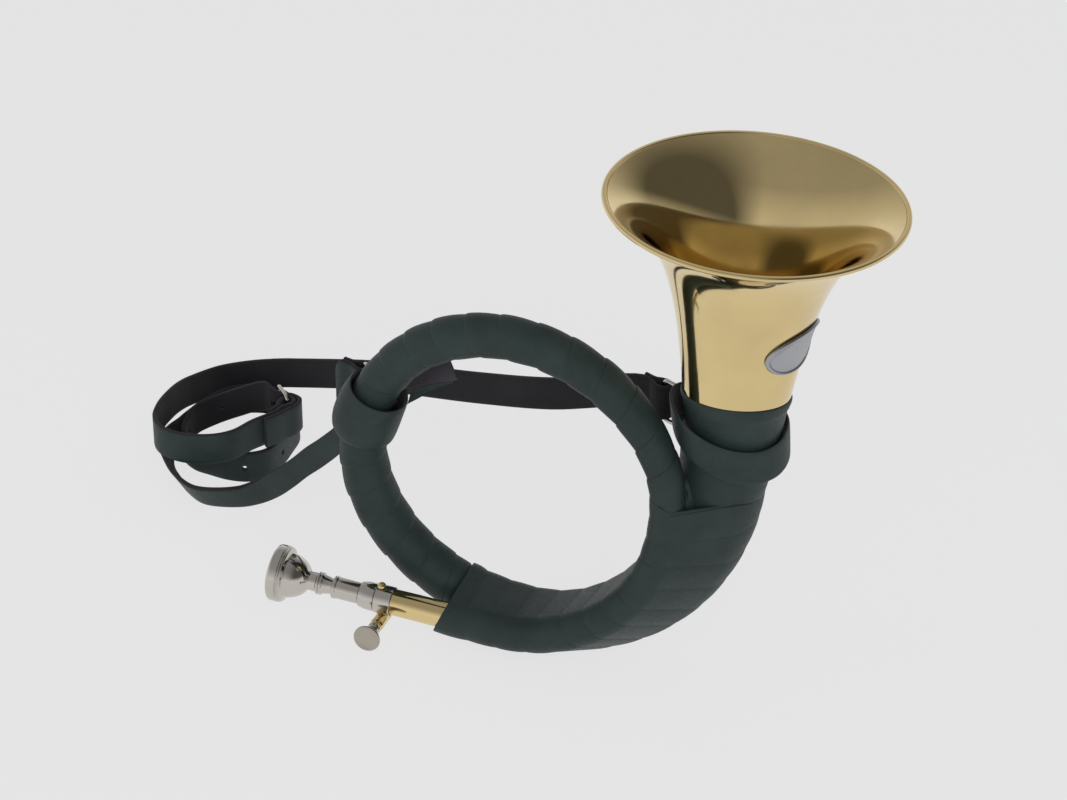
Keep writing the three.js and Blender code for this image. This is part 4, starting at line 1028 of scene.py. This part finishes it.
# Share of the way up, and how far the outside is pared down there
BELL_BAND_SECTION = [
    (0, 0.4), (0.03, 0.08), (0.1, 0), (0.25, 0), (0.4, 0), (0.55, 0), (0.7, 0), (0.85, 0), (0.95, 0.08),
    (1, 0.4),
]
# The pull toward the ring: its middle and reach (degrees), and how far the foot is pulled out
BELL_BAND_PULL = (133, 24, 3.6)
COIL_COLLAR_ENDS = (173.8, 154.4)
# Share of the way, share of the spread, sideways shift (of 1.2 mm), lean (degrees)
COIL_COLLAR_SHARES = [
    (0, 0.86, 0, -8), (0.1, 0.95, 0, -7), (0.35, 1, 0.35, -3), (0.7, 0.98, 0.8, 1), (1, 0.92, 1, 5),
]
COIL_COLLAR_SPREAD = 15.4
STUDS = [
    ("collar_stud_1", (-62.87, 18.15, 22.71), (-0.513, -0.853, 0.1)),
    ("collar_stud_2", (-62.65, 17.71, 19.96), (-0.593, -0.795, 0.128)),
]
FLAP_ROWS = [
    [[-0.707, 0.156, 0.401], [-0.735, 0.166, 0.307]],
    [[-0.656, 0.143, 0.435], [-0.668, 0.155, 0.36]],
    [[-0.545, 0.112, 0.504], [-0.577, 0.122, 0.44]],
    [[-0.42, 0.08, 0.568], [-0.427, 0.083, 0.55]],
]
LINING_ROWS = [
    [[-0.711, 0.16, 0.427], [-0.793, 0.248, 0.447]],
    [[-0.64, 0.137, 0.475], [-0.7, 0.225, 0.5]],
    [[-0.51, 0.095, 0.54], [-0.575, 0.17, 0.6]],
    [[-0.38, 0.053, 0.607], [-0.453, 0.12, 0.693]],
]


def collar(name, levels, thickness, sides=96):
    """A loose band with softened edges: green outside, flesh side inside"""
    last = len(levels) - 1
    drops = [0.35 if i in (0, last) else 0.0 for i in range(last + 1)]
    outer = [ring(level, level["radius"] - drop, sides) for level, drop in zip(levels, drops)]
    inner = [ring(level, level["radius"] - thickness + drop, sides) for level, drop in zip(levels, drops)]
    return band(name, outer, inner[::-1])


def band(name, outer, inner):
    """A leather band through its outer rings and then its inner ones"""
    rings = []
    for at in [*outer, *inner]:
        shift = rough(at, 0.22, 11)
        centre = at.mean(axis=0)
        rings.append(centre + (at - centre) * (1 + shift[:, None] / 20))
    faces = len(outer) - 1
    rows = [0] * faces + [2] + [1] * faces + [2]
    return loft(name, rings, ["leather", "flesh", "edge"], "loop", rows=rows, sharp=50)


def bell_band():
    """The bell collar: it hangs lower on the front and right, and is pulled out toward its ring"""
    right, back = CAMERA_RIGHT, np.array([-CAMERA_RIGHT[1], CAMERA_RIGHT[0], 0.0])
    middle, reach, far = BELL_BAND_PULL

    def faces(share, drop, turn):
        c, s = math.cos(math.radians(turn)), math.sin(math.radians(turn))
        height = between(BELL_BAND_TURNS, BELL_BAND_TOPS, turn) - BELL_BAND_HEIGHT * (1 - share)
        # The foot's and the upper edge's radius, a little out of round
        low = 25.5 + 0.25 * c + 0.6 * (c * c - s * s)
        high = 26.4 - 2.2 * c + 0.6 * s + 0.2 * (c * c - s * s)
        pull = math.exp(-(((turn - middle) / reach) ** 2)) * far * (1 - 0.6 * share)
        radius = low + (high - low) * share + pull
        centre = bell_point((BELL_CENTRE[2] - height) / BELL_AXIS[2])
        return centre, right * c + back * s, radius - drop, radius - COLLAR_THICKNESS + drop

    outer, inner = swept(BELL_BAND_SECTION, np.linspace(0, 360, 120, endpoint=False), faces)
    return band("bell_band", outer, inner[::-1])


def dense_levels(levels, steps):
    """Levels between the given ones, along smooth curves"""
    keys = list(range(len(levels)))
    out = []
    for t in np.linspace(0, keys[-1], steps):
        centre = np.array([between(keys, [lv["centre"][n] for lv in levels], t) for n in range(3)])
        tangent = np.array([between(keys, [lv["tangent"][n] for lv in levels], t) for n in range(3)])
        out.append(station(centre, unit(tangent), between(keys, [lv["radius"] for lv in levels], t)))
    return out


def turned_about_y(vector, degrees):
    turn = math.radians(degrees)
    c, s = math.cos(turn), math.sin(turn)
    return np.array([vector[0] * c + vector[2] * s, vector[1], -vector[0] * s + vector[2] * c])


def flap_layer(name, rows, thickness, materials):
    """A thin layer between its rows, with a slight bow along and across"""
    keys = [0, 1, 2, 3]
    corners = np.asarray(rows) * COIL_RADIUS
    across = corners[0][1] - corners[0][0]
    along = corners[-1][0] - corners[0][0]
    through = unit(np.cross(along, across)) * -thickness
    rings = []
    for t in np.linspace(0, 3, 25):
        first = np.array([between(keys, corners[:, 0, n].tolist(), t) for n in range(3)])
        second = np.array([between(keys, corners[:, 1, n].tolist(), t) for n in range(3)])
        face, back = [], []
        for share in np.linspace(0, 1, 9):
            point = first + (second - first) * share
            uneven = 0.25 * noise.noise(Vector(point) / 6)
            edge = 0.12 * (1 if share in (0, 1) else 0)
            lift = unit(through) * (uneven * math.sin(math.pi * share) + edge * thickness)
            face.append(point + lift)
            back.append(point + through + lift * 0.5)
        rings.append(face + back[::-1])
    slots = [0] * 8 + [2] + [1] * 8 + [2]
    return loft(name, rings, materials, "caps", slots, sharp=50)


class HORN_OT_collars(bpy.types.Operator):
    """Bell collar, coil collar, its two-layer flap and studs, and the ring tabs"""

    bl_idname = "horn.collars"
    bl_label = "Leather collars"

    def execute(self, context):
        piece = bell_band()
        place_piece(piece, "horn", ["bell_collar"])
        coil_levels = []
        first, last = COIL_COLLAR_ENDS
        for along, size, shift, turn in COIL_COLLAR_SHARES:
            at = coil_station(first + (last - first) * along)
            tangent = turned_about_y(-at["tangent"], -turn)
            centre = at["centre"] + X_AXIS * 1.2 * shift
            coil_levels.append(station(centre, tangent, size * COIL_COLLAR_SPREAD))
        piece = collar("coil_band", dense_levels(coil_levels, 18), COLLAR_THICKNESS)
        place_piece(piece, "horn", ["coil_collar"])
        for name, foot, inward in STUDS:
            dome = [(-0.5, 0), (-0.5, 1.2), (0.2, 1.2), (0.6, 0.95), (0.9, 0.5), (1.0, 0)]
            piece = turned(name, dome, np.array(foot), inward, ["brass"], 0.05, sides=24)
            place_piece(piece, "horn")
        piece = flap_layer("flap_under", FLAP_ROWS, -1.2, ["leather", "flesh", "edge"])
        place_piece(piece, "horn", ["collar_flap"])
        piece = flap_layer("flap_suede", LINING_ROWS, 1.2, ["lining", "leather", "edge"])
        place_piece(piece, "horn", ["flap_lining"])
        for name, inner, _along in RINGS:
            outline = plain_tube(-6.5, 6.5, 2.6, 1.3)
            piece = turned(f"tab_{name}", outline, inner, Z_AXIS, ["leather"], 0.25, sides=32)
            place_piece(piece, "horn", [f"ring_tab_{name}"])
        return {"FINISHED"}


# Rings, straps and buckle


RING_HALF = (4.8, 9.9)
WIRE_RADIUS = 1.0
RINGS = [
    ("bell", np.array([68.0746, 24.9569, 37.5]), unit(np.array([-0.9, 0.44, 0.0]))),
    ("coil", np.array([-76.4341, 25.2209, 19.0]), unit(np.array([-0.7, 0.71, 0.0]))),
]
COIL_STRAP_ALONG = unit(np.array([-0.97, 0.25, 0.0]))
STRAP_ORIGIN = np.array([-200.0, 140.0, -91.0])
HOLE_START, HOLE_PITCH = 30, 25
EYE_RADIUS = 3.3
EYE_TAIL = 12.0
EYE_LAP = 0.25
LONG_PLACES = [
    [2, -0.87, 0.989], [1.6, -0.68, 0.838], [1.2, -0.46, 0.685], [0.803, -0.026, 0.404],
    [0.599, 0.094, 0.309], [0.304, 0.234, 0.184], [0.167, 0.272, 0.139], [0.003, 0.275, 0.096],
    [-0.13, 0.206, 0.081], [-0.21, 0.021, 0.109], [-0.217, -0.109, 0.145], [-0.208, -0.253, 0.178],
    [-0.199, -0.398, 0.19], [-0.166, -0.525, 0.19], [-0.092, -0.603, 0.188], [0.02, -0.618, 0.178],
    [0.16, -0.58, 0.176], [0.245, -0.515, 0.18], [0.305, -0.42, 0.193],
]
TONGUE_PLACES = [
    [1.015, -1.025, 0.92], [1.015, -0.945, 0.78], [0.99, -0.87, 0.64], [0.925, -0.81, 0.515],
    [0.816, -0.762, 0.39], [0.712, -0.717, 0.285], [0.635, -0.69, 0.2, 3], [0.55, -0.66, 0.115, 8],
    [0.45, -0.635, 0.04, 15], [0.35, -0.64, 0, 22], [0.25, -0.675, 0, 28], [0.15, -0.68, 0, 32],
    [0.04, -0.61, 0, 31], [-0.05, -0.52, 0, 27], [-0.13, -0.425, 0, 22], [-0.17, -0.325, 0, 12],
    [-0.17, -0.22, 0, 3], [-0.16, -0.11, 0], [-0.135, 0, 0], [-0.095, 0.095, 0], [-0.04, 0.165, 0],
    [0.04, 0.21, 0], [0.12, 0.225, 0], [0.2, 0.21, 0], [0.265, 0.17, 0], [0.32, 0.1, 0], [0.36, 0.02, 0],
    [0.37, -0.1, 0], [0.37, -0.25, 0], [0.345, -0.36, 0], [0.27, -0.42, 0], [0.17, -0.435, 0],
    [0.07, -0.42, 0], [-0.02, -0.405, 0.005], [-0.09, -0.36, 0.019], [-0.125, -0.256, 0.029],
    [-0.122, -0.146, 0.044], [-0.053, -0.073, 0.069], [0.065, -0.038, 0.12],
]
TONGUE_THROUGH = [
    [8, -20], [5.3, -13], [4.2, -7], [5.9, -1.4], [4.8, 4], [-1.4, 6.3], [-8.8, 4.6], [-14.5, 3.7],
    [-20.7, 1.7],
]
BUCKLE_BAR = STRAP_ORIGIN + 100 * np.array([0.4, -0.19, 0.2])
BUCKLE_ALONG = unit(np.array([0.25, 0.97, 0.0]))
FRAME_TIP = math.radians(57)
FRAME_ALONG = np.array([
    BUCKLE_ALONG[0] * math.cos(FRAME_TIP) - BUCKLE_ALONG[1] * math.sin(FRAME_TIP),
    BUCKLE_ALONG[0] * math.sin(FRAME_TIP) + BUCKLE_ALONG[1] * math.cos(FRAME_TIP), 0.0,
])
FRAME_HALF = (6.5, 9.9)
BAR_MIDDLE = BUCKLE_BAR + Z_AXIS * STRAP_WIDTH_CAD / 2


def side_of(along):
    return np.cross(along, Z_AXIS)


def strap_place(x, y, up, lean=0):
    return STRAP_ORIGIN + 100 * np.array([x, y, up]), lean


def eye_route(wire, along, aside):
    waist = STRAP_THICK_CAD / 2 + EYE_LAP
    spots = [(-EYE_TAIL, -waist), (-EYE_TAIL / 2, -waist), (-EYE_RADIUS, -EYE_RADIUS * 0.8)]
    for turn in (-90, -45, 0, 45, 90):
        angle = math.radians(turn)
        spots.append((EYE_RADIUS * math.cos(angle), EYE_RADIUS * math.sin(angle)))
    spots += [(-EYE_RADIUS, EYE_RADIUS * 0.8), (-EYE_TAIL / 2, waist), (-EYE_TAIL, waist)]
    return [(wire + along * a + aside * b, 0) for a, b in spots]


def curve_point(points, t):
    """A centripetal curve through the points, at a share of its count of points"""
    last = len(points) - 1
    place = min(t, 1) * last
    i = min(int(place), last - 1)
    weight = place - i
    p1, p2 = points[i], points[i + 1]
    p0 = points[i - 1] if i else 2 * p1 - p2
    p3 = points[i + 2] if i + 2 <= last else 2 * p2 - p1
    pairs = ((p0, p1), (p1, p2), (p2, p3))
    d0, d1, d2 = (max(np.linalg.norm(b - a), 1e-8) ** 0.5 for a, b in pairs)
    t1 = ((p1 - p0) / d0 - (p2 - p0) / (d0 + d1) + (p2 - p1) / d1) * d1
    t2 = ((p2 - p1) / d1 - (p3 - p1) / (d1 + d2) + (p3 - p2) / d2) * d1
    square, cube = 3 * (p2 - p1) - 2 * t1 - t2, 2 * (p1 - p2) + t1 + t2
    return p1 + t1 * weight + square * weight**2 + cube * weight**3


def strap_frames(route, steps):
    """Foot, up and side at each step of a strap that stands on edge"""
    points = [at for at, _ in route]
    count = (len(route) - 1) * steps
    frames = []
    for i in range(count + 1):
        share = i / count
        slot = min(i // steps, len(route) - 2)
        lean = math.radians(route[slot][1] + (route[slot + 1][1] - route[slot][1]) * (i / steps - slot))
        low, high = max(share - 1e-4, 0), min(share + 1e-4, 1)
        tangent = curve_point(points, high) - curve_point(points, low)
        tangent[2] = 0
        tangent = unit(tangent)
        aside = np.cross(tangent, Z_AXIS)
        up = Z_AXIS * math.cos(lean) - aside * math.sin(lean)
        out = np.cross(tangent, up)
        foot = curve_point(points, share) + Z_AXIS * abs(math.sin(lean)) * STRAP_THICK_CAD / 2
        frames.append((foot, up, out))
    return frames


def strap_length(frames):
    middles = [foot + up * STRAP_WIDTH_CAD / 2 for foot, up, _ in frames]
    return sum(np.linalg.norm(b - a) for a, b in zip(middles, middles[1:]))


def strap_mesh(name, frames, grain_side):
    """The band: grain on one side, flesh on the other, rounded dark edges"""
    width, thick = sizes().strap_width / MM, sizes().strap_thickness / MM
    corner = 0.55
    face = [0.0, 0.12, 0.35, 0.65, 0.88, 1.0]
    rings = []
    for foot, up, out in frames:
        shape = []
        for side, order in ((1, face), (-1, face[::-1])):
            for share in order:
                high = corner + (width - 2 * corner) * share
                uneven = 0.1 * noise.noise(Vector(foot + up * high) / 9)
                shape.append(foot + up * high + out * side * (thick / 2 + uneven * 0.5 - 0.03))
            tip = width if side == 1 else 0.0
            shape.append(foot + up * tip + out * side * (thick / 2 - corner))
            shape.append(foot + up * tip - out * side * (thick / 2 - corner))
        rings.append(shape)
    one = len(face)
    grain, raw = (0, 1) if grain_side > 0 else (1, 0)
    slots = [grain] * (one - 1) + [2] * 3 + [raw] * (one - 1) + [2] * 3
    return loft(name, rings, ["leather", "flesh", "edge"], "caps", slots, sharp=48)


def punch(piece, cutters):
    """Cuts the cutters' shapes out of a piece and removes them"""
    bpy.context.view_layer.update()
    for cutter in cutters:
        tool = piece.modifiers.new("punch", "BOOLEAN")
        tool.operation = "DIFFERENCE"
        tool.solver = "EXACT"
        tool.object = cutter
    graph = bpy.context.evaluated_depsgraph_get()
    cut = bpy.data.meshes.new_from_object(piece.evaluated_get(graph))
    piece.modifiers.clear()
    old = piece.data
    piece.data = cut
    bpy.data.meshes.remove(old)
    for cutter in cutters:
        bpy.data.objects.remove(cutter)


def wire_loop(centre, first, second, halves, corner, steps=8):
    """A rectangle with rounded corners, along two directions"""
    path = []
    for quarter, (a, b) in enumerate(((1, 1), (-1, 1), (-1, -1), (1, -1))):
        for step in range(steps + 1):
            turn = (quarter + step / steps) * math.pi / 2
            path.append(
                centre + first * (a * (halves[0] - corner) + corner * math.cos(turn))
                + second * (b * (halves[1] - corner) + corner * math.sin(turn))
            )
    return path


class HORN_OT_rings(bpy.types.Operator):
    """The wire rings that join the strap to the collars"""

    bl_idname = "horn.rings"
    bl_label = "Strap rings"

    def execute(self, context):
        for name, inner, along in RINGS:
            path = wire_loop(inner + along * RING_HALF[0], along, Z_AXIS, RING_HALF, 2.6)
            piece = closed_wire(f"wire_ring_{name}", path, WIRE_RADIUS, ["nickel"])
            place_piece(piece, f"{name}_ring", [f"ring_{name}"])
        return {"FINISHED"}


def ring_eye(index, along=None):
    _, inner, ring_along = RINGS[index]
    outer = inner + ring_along * 2 * RING_HALF[0]
    inward = -(ring_along if along is None else along)
    return eye_route(outer - Z_AXIS * STRAP_WIDTH_CAD / 2, inward, side_of(inward))


class HORN_OT_straps(bpy.types.Operator):
    """The two leather straps, with their eyes, slots and holes"""

    bl_idname = "horn.straps"
    bl_label = "Shoulder strap"

    def execute(self, context):
        bar_eye = eye_route(BUCKLE_BAR, BUCKLE_ALONG, side_of(BUCKLE_ALONG))[::-1]
        route = ring_eye(0) + [strap_place(*p) for p in LONG_PLACES] + bar_eye
        piece, _ = self.lay("strap_with_buckle", "strap_long", route, 1, "strap_in_holes")
        centre = BAR_MIDDLE + BUCKLE_ALONG * EYE_RADIUS * 0.9
        self.slot(piece, centre, BUCKLE_ALONG, (4 * EYE_RADIUS, 2 * EYE_RADIUS))
        through = [
            (BUCKLE_BAR + BUCKLE_ALONG * a + side_of(BUCKLE_ALONG) * b, 0) for a, b in TONGUE_THROUGH
        ]
        route = ring_eye(1, COIL_STRAP_ALONG) + [strap_place(*p) for p in TONGUE_PLACES] + through
        piece, frames = self.lay("strap_in_holes", "strap_tongue", route, -1, "floor")
        self.slot(piece, BAR_MIDDLE + FRAME_ALONG * 7, FRAME_ALONG, (3 * EYE_RADIUS, 4 * EYE_RADIUS))
        self.holes(piece, frames)
        return {"FINISHED"}

    @staticmethod
    def lay(name, node, route, grain_side, below):
        """One strap along its route. below: the piece or floor under it, not used"""
        frames = strap_frames(route, 8)
        piece = strap_mesh(name, frames, grain_side)
        place_piece(piece, "horn", [node])
        length = strap_length(frames)
        print(name, "length", round(length))
        return piece, frames

    @staticmethod
    def slot(piece, centre, along, size):
        """A slot through the strap's eye for the prong"""
        across = side_of(along)
        corners = []
        for a in (-1, 1):
            for b in (-1, 1):
                for c in (-1, 1):
                    side = across * a * size[0] / 2
                    corners.append(centre + side + along * b * size[1] / 2 + Z_AXIS * c * 1.5)
        faces = [(0, 1, 3, 2), (4, 6, 7, 5), (0, 4, 5, 1), (2, 3, 7, 6), (0, 2, 6, 4), (1, 5, 7, 3)]
        punch(piece, [from_faces("cutter", corners, faces, ["edge"])])

    @staticmethod
    def holes(piece, frames):
        """Round holes along the middle of the tongue's end"""
        radius = sizes().hole_radius / MM
        run, cutters, travelled = [], [], 0.0
        for (a, up, out), (b, _, _) in zip(frames[::-1], frames[-2::-1]):
            travelled += np.linalg.norm(b - a)
            run.append((travelled, a + up * STRAP_WIDTH_CAD / 2, out))
        for target in [HOLE_START + HOLE_PITCH * n for n in range(2, 9)]:
            _, middle, out = min(run, key=lambda r: abs(r[0] - target))
            outline = [(-2.5, 0), (-2.5, radius), (2.5, radius), (2.5, 0)]
            cutters.append(turned("cutter", outline, middle, out, ["edge"], 0, sides=16))
        punch(piece, cutters)


class HORN_OT_buckle(bpy.types.Operator):
    """Wire buckle frame and its prong"""

    bl_idname = "horn.buckle"
    bl_label = "Buckle"

    def execute(self, context):
        middle = BAR_MIDDLE + FRAME_ALONG * FRAME_HALF[0]
        path = wire_loop(middle, FRAME_ALONG, Z_AXIS, FRAME_HALF, 3.0)
        piece = closed_wire("buckle_wire", path, WIRE_RADIUS, ["nickel"])
        place_piece(piece, "buckle", ["buckle_frame"])
        paint_node("buckle_prong", "nickel")
        return {"FINISHED"}


# Stage


CAMERA_SPOT = (0.41748, -1.22744, 0.80294)
CAMERA_AIM = (0.008623, 0.0, 0.043851)
# Each lamp's name, place, side (metres) and power (watts)
LAMPS = [
    ("lamp_above", (-0.1, 0.1, 1.6), 1.6, 1.0),
    ("lamp_front", (0.9, -2.0, 1.1), 2.2, 36),
    ("lamp_left", (-1.7, -0.9, 0.6), 1.0, 3),
]
# What polished metal sees of the room: overhead, and to the right
CEILING = (0.36, 0.36, 0.36)
RIGHT_SIDE = (0.1, 0.1, 0.1)
ROOM_LIGHT = (0.95, 0.96, 1)
ROOM_STRENGTH = 0.27
FLOOR_GLOW = 0.86
FLOOR_REACH = 6.0
FLOOR_DROP = 0.0002


def area_lamp(name, spot, size, power):
    """A soft square lamp that faces the horn and doesn't show in polished metal"""
    data = bpy.data.lights.new(name, "AREA")
    data.shape = "SQUARE"
    data.size = size
    data.energy = power
    lamp = bpy.data.objects.new(name, data)
    lamp.location = spot
    lamp.rotation_euler = (-Vector(spot)).to_track_quat("-Z", "Y").to_euler()
    lamp.visible_glossy = False
    bpy.context.scene.collection.objects.link(lamp)


def seen_directly(tree):
    """1 for rays that show the background: from the camera, a mirror or glass"""
    path = tree.nodes.new("ShaderNodeLightPath")
    total = path.outputs["Is Camera Ray"]
    for key in ("Is Glossy Ray", "Is Transmission Ray"):
        total = combine(tree, "MAXIMUM", total, path.outputs[key])
    return total


def show_by_ray(tree, share, plain, shown, target):
    mix = tree.nodes.new("ShaderNodeMixShader")
    for place, output in enumerate((share, plain.outputs[0], shown.outputs[0])):
        tree.links.new(output, mix.inputs[place])
    tree.links.new(mix.outputs[0], target.inputs["Surface"])


class HORN_OT_stage(bpy.types.Operator):
    """Pale floor, soft lamps, world and camera"""

    bl_idname = "horn.stage"
    bl_label = "Stage"

    def execute(self, context):
        scene = context.scene
        ground = tuple(colours().ground)
        self.floor(ground)
        self.world(scene, ground)
        for name, spot, size, power in LAMPS:
            area_lamp(name, spot, size, power)
        camera = bpy.data.cameras.new("camera")
        camera.lens = sizes().focal_length
        camera.sensor_width = 36
        camera.clip_start, camera.clip_end = 0.05, 20
        eye = bpy.data.objects.new("camera", camera)
        eye.location = CAMERA_SPOT
        aim = Vector(CAMERA_AIM) - Vector(CAMERA_SPOT)
        eye.rotation_euler = aim.to_track_quat("-Z", "Y").to_euler()
        scene.collection.objects.link(eye)
        scene.camera = eye
        scene.view_settings.view_transform = "Standard"
        return {"FINISHED"}

    @staticmethod
    def floor(ground):
        low = CAD_BOX[0][2] - FLOOR_DROP
        signs = ((-1, -1), (1, -1), (1, 1), (-1, 1))
        corners = [(FLOOR_REACH * x, FLOOR_REACH * y, low) for x, y in signs]
        mesh = bpy.data.meshes.new("floor")
        mesh.from_pydata(corners, [], [(0, 1, 2, 3)])
        plane = bpy.data.objects.new("floor", mesh)
        bpy.context.scene.collection.objects.link(plane)
        material, tree, main = shader("floor_paint", ground, 0.0, 0.9)
        glow = tree.nodes.new("ShaderNodeEmission")
        glow.inputs["Color"].default_value = (*ground, 1)
        share = combine(tree, "MULTIPLY", seen_directly(tree), FLOOR_GLOW)
        show_by_ray(tree, share, main, glow, tree.nodes["Material Output"])
        mesh.materials.append(material)

    @staticmethod
    def world(scene, ground):
        world = bpy.data.worlds.new("room")
        scene.world = world
        world.use_nodes = True
        tree = world.node_tree
        tree.nodes.clear()
        shown = tree.nodes.new("ShaderNodeBackground")
        where = tree.nodes.new("ShaderNodeTexCoord")
        parts = tree.nodes.new("ShaderNodeSeparateXYZ")
        tree.links.new(where.outputs["Generated"], parts.inputs[0])
        height = remap(tree, parts.outputs["Z"], 0.1, 0.7, 0, 1)
        above = blend_colour(tree, height, ground, CEILING)
        to_right = remap(tree, parts.outputs["X"], 0.1, 0.6, 0, 1)
        risen = remap(tree, parts.outputs["Z"], 0.0, 0.3, 0, 1)
        aside = combine(tree, "MULTIPLY", to_right, risen)
        tree.links.new(blend_colour(tree, aside, above, RIGHT_SIDE), shown.inputs["Color"])
        room = tree.nodes.new("ShaderNodeBackground")
        room.inputs["Color"].default_value = (*ROOM_LIGHT, 1)
        room.inputs["Strength"].default_value = ROOM_STRENGTH
        show_by_ray(tree, seen_directly(tree), room, shown, tree.nodes.new("ShaderNodeOutputWorld"))


class HORN_PT_panel(bpy.types.Panel):
    """The steps that dress the horn, in order"""

    bl_label = "Hunting horn"
    bl_idname = "HORN_PT_panel"
    bl_space_type = "VIEW_3D"
    bl_region_type = "UI"
    bl_category = "Horn"

    def draw(self, context):
        for operator in OPERATORS:
            self.layout.operator(operator.bl_idname)
        for group in (context.scene.horn_sizes, context.scene.horn_colours):
            for key in group.__annotations__:
                self.layout.prop(group, key)


OPERATORS = (
    HORN_OT_stage, HORN_OT_brass, HORN_OT_badge, HORN_OT_slide, HORN_OT_clamp, HORN_OT_binding,
    HORN_OT_collars, HORN_OT_rings, HORN_OT_straps, HORN_OT_buckle,
)
CLASSES = (HornSizes, HornColours, *OPERATORS, HORN_PT_panel)


def register():
    for cls in CLASSES:
        bpy.utils.register_class(cls)
    bpy.types.Scene.horn_sizes = PointerProperty(type=HornSizes)
    bpy.types.Scene.horn_colours = PointerProperty(type=HornColours)


def unregister():
    del bpy.types.Scene.horn_colours
    del bpy.types.Scene.horn_sizes
    for cls in reversed(CLASSES):
        bpy.utils.unregister_class(cls)


def main():
    register()
    for operator in OPERATORS:
        group, name = operator.bl_idname.split(".")
        getattr(getattr(bpy.ops, group), name)()
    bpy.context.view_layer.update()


if __name__ == "__main__":
    main()
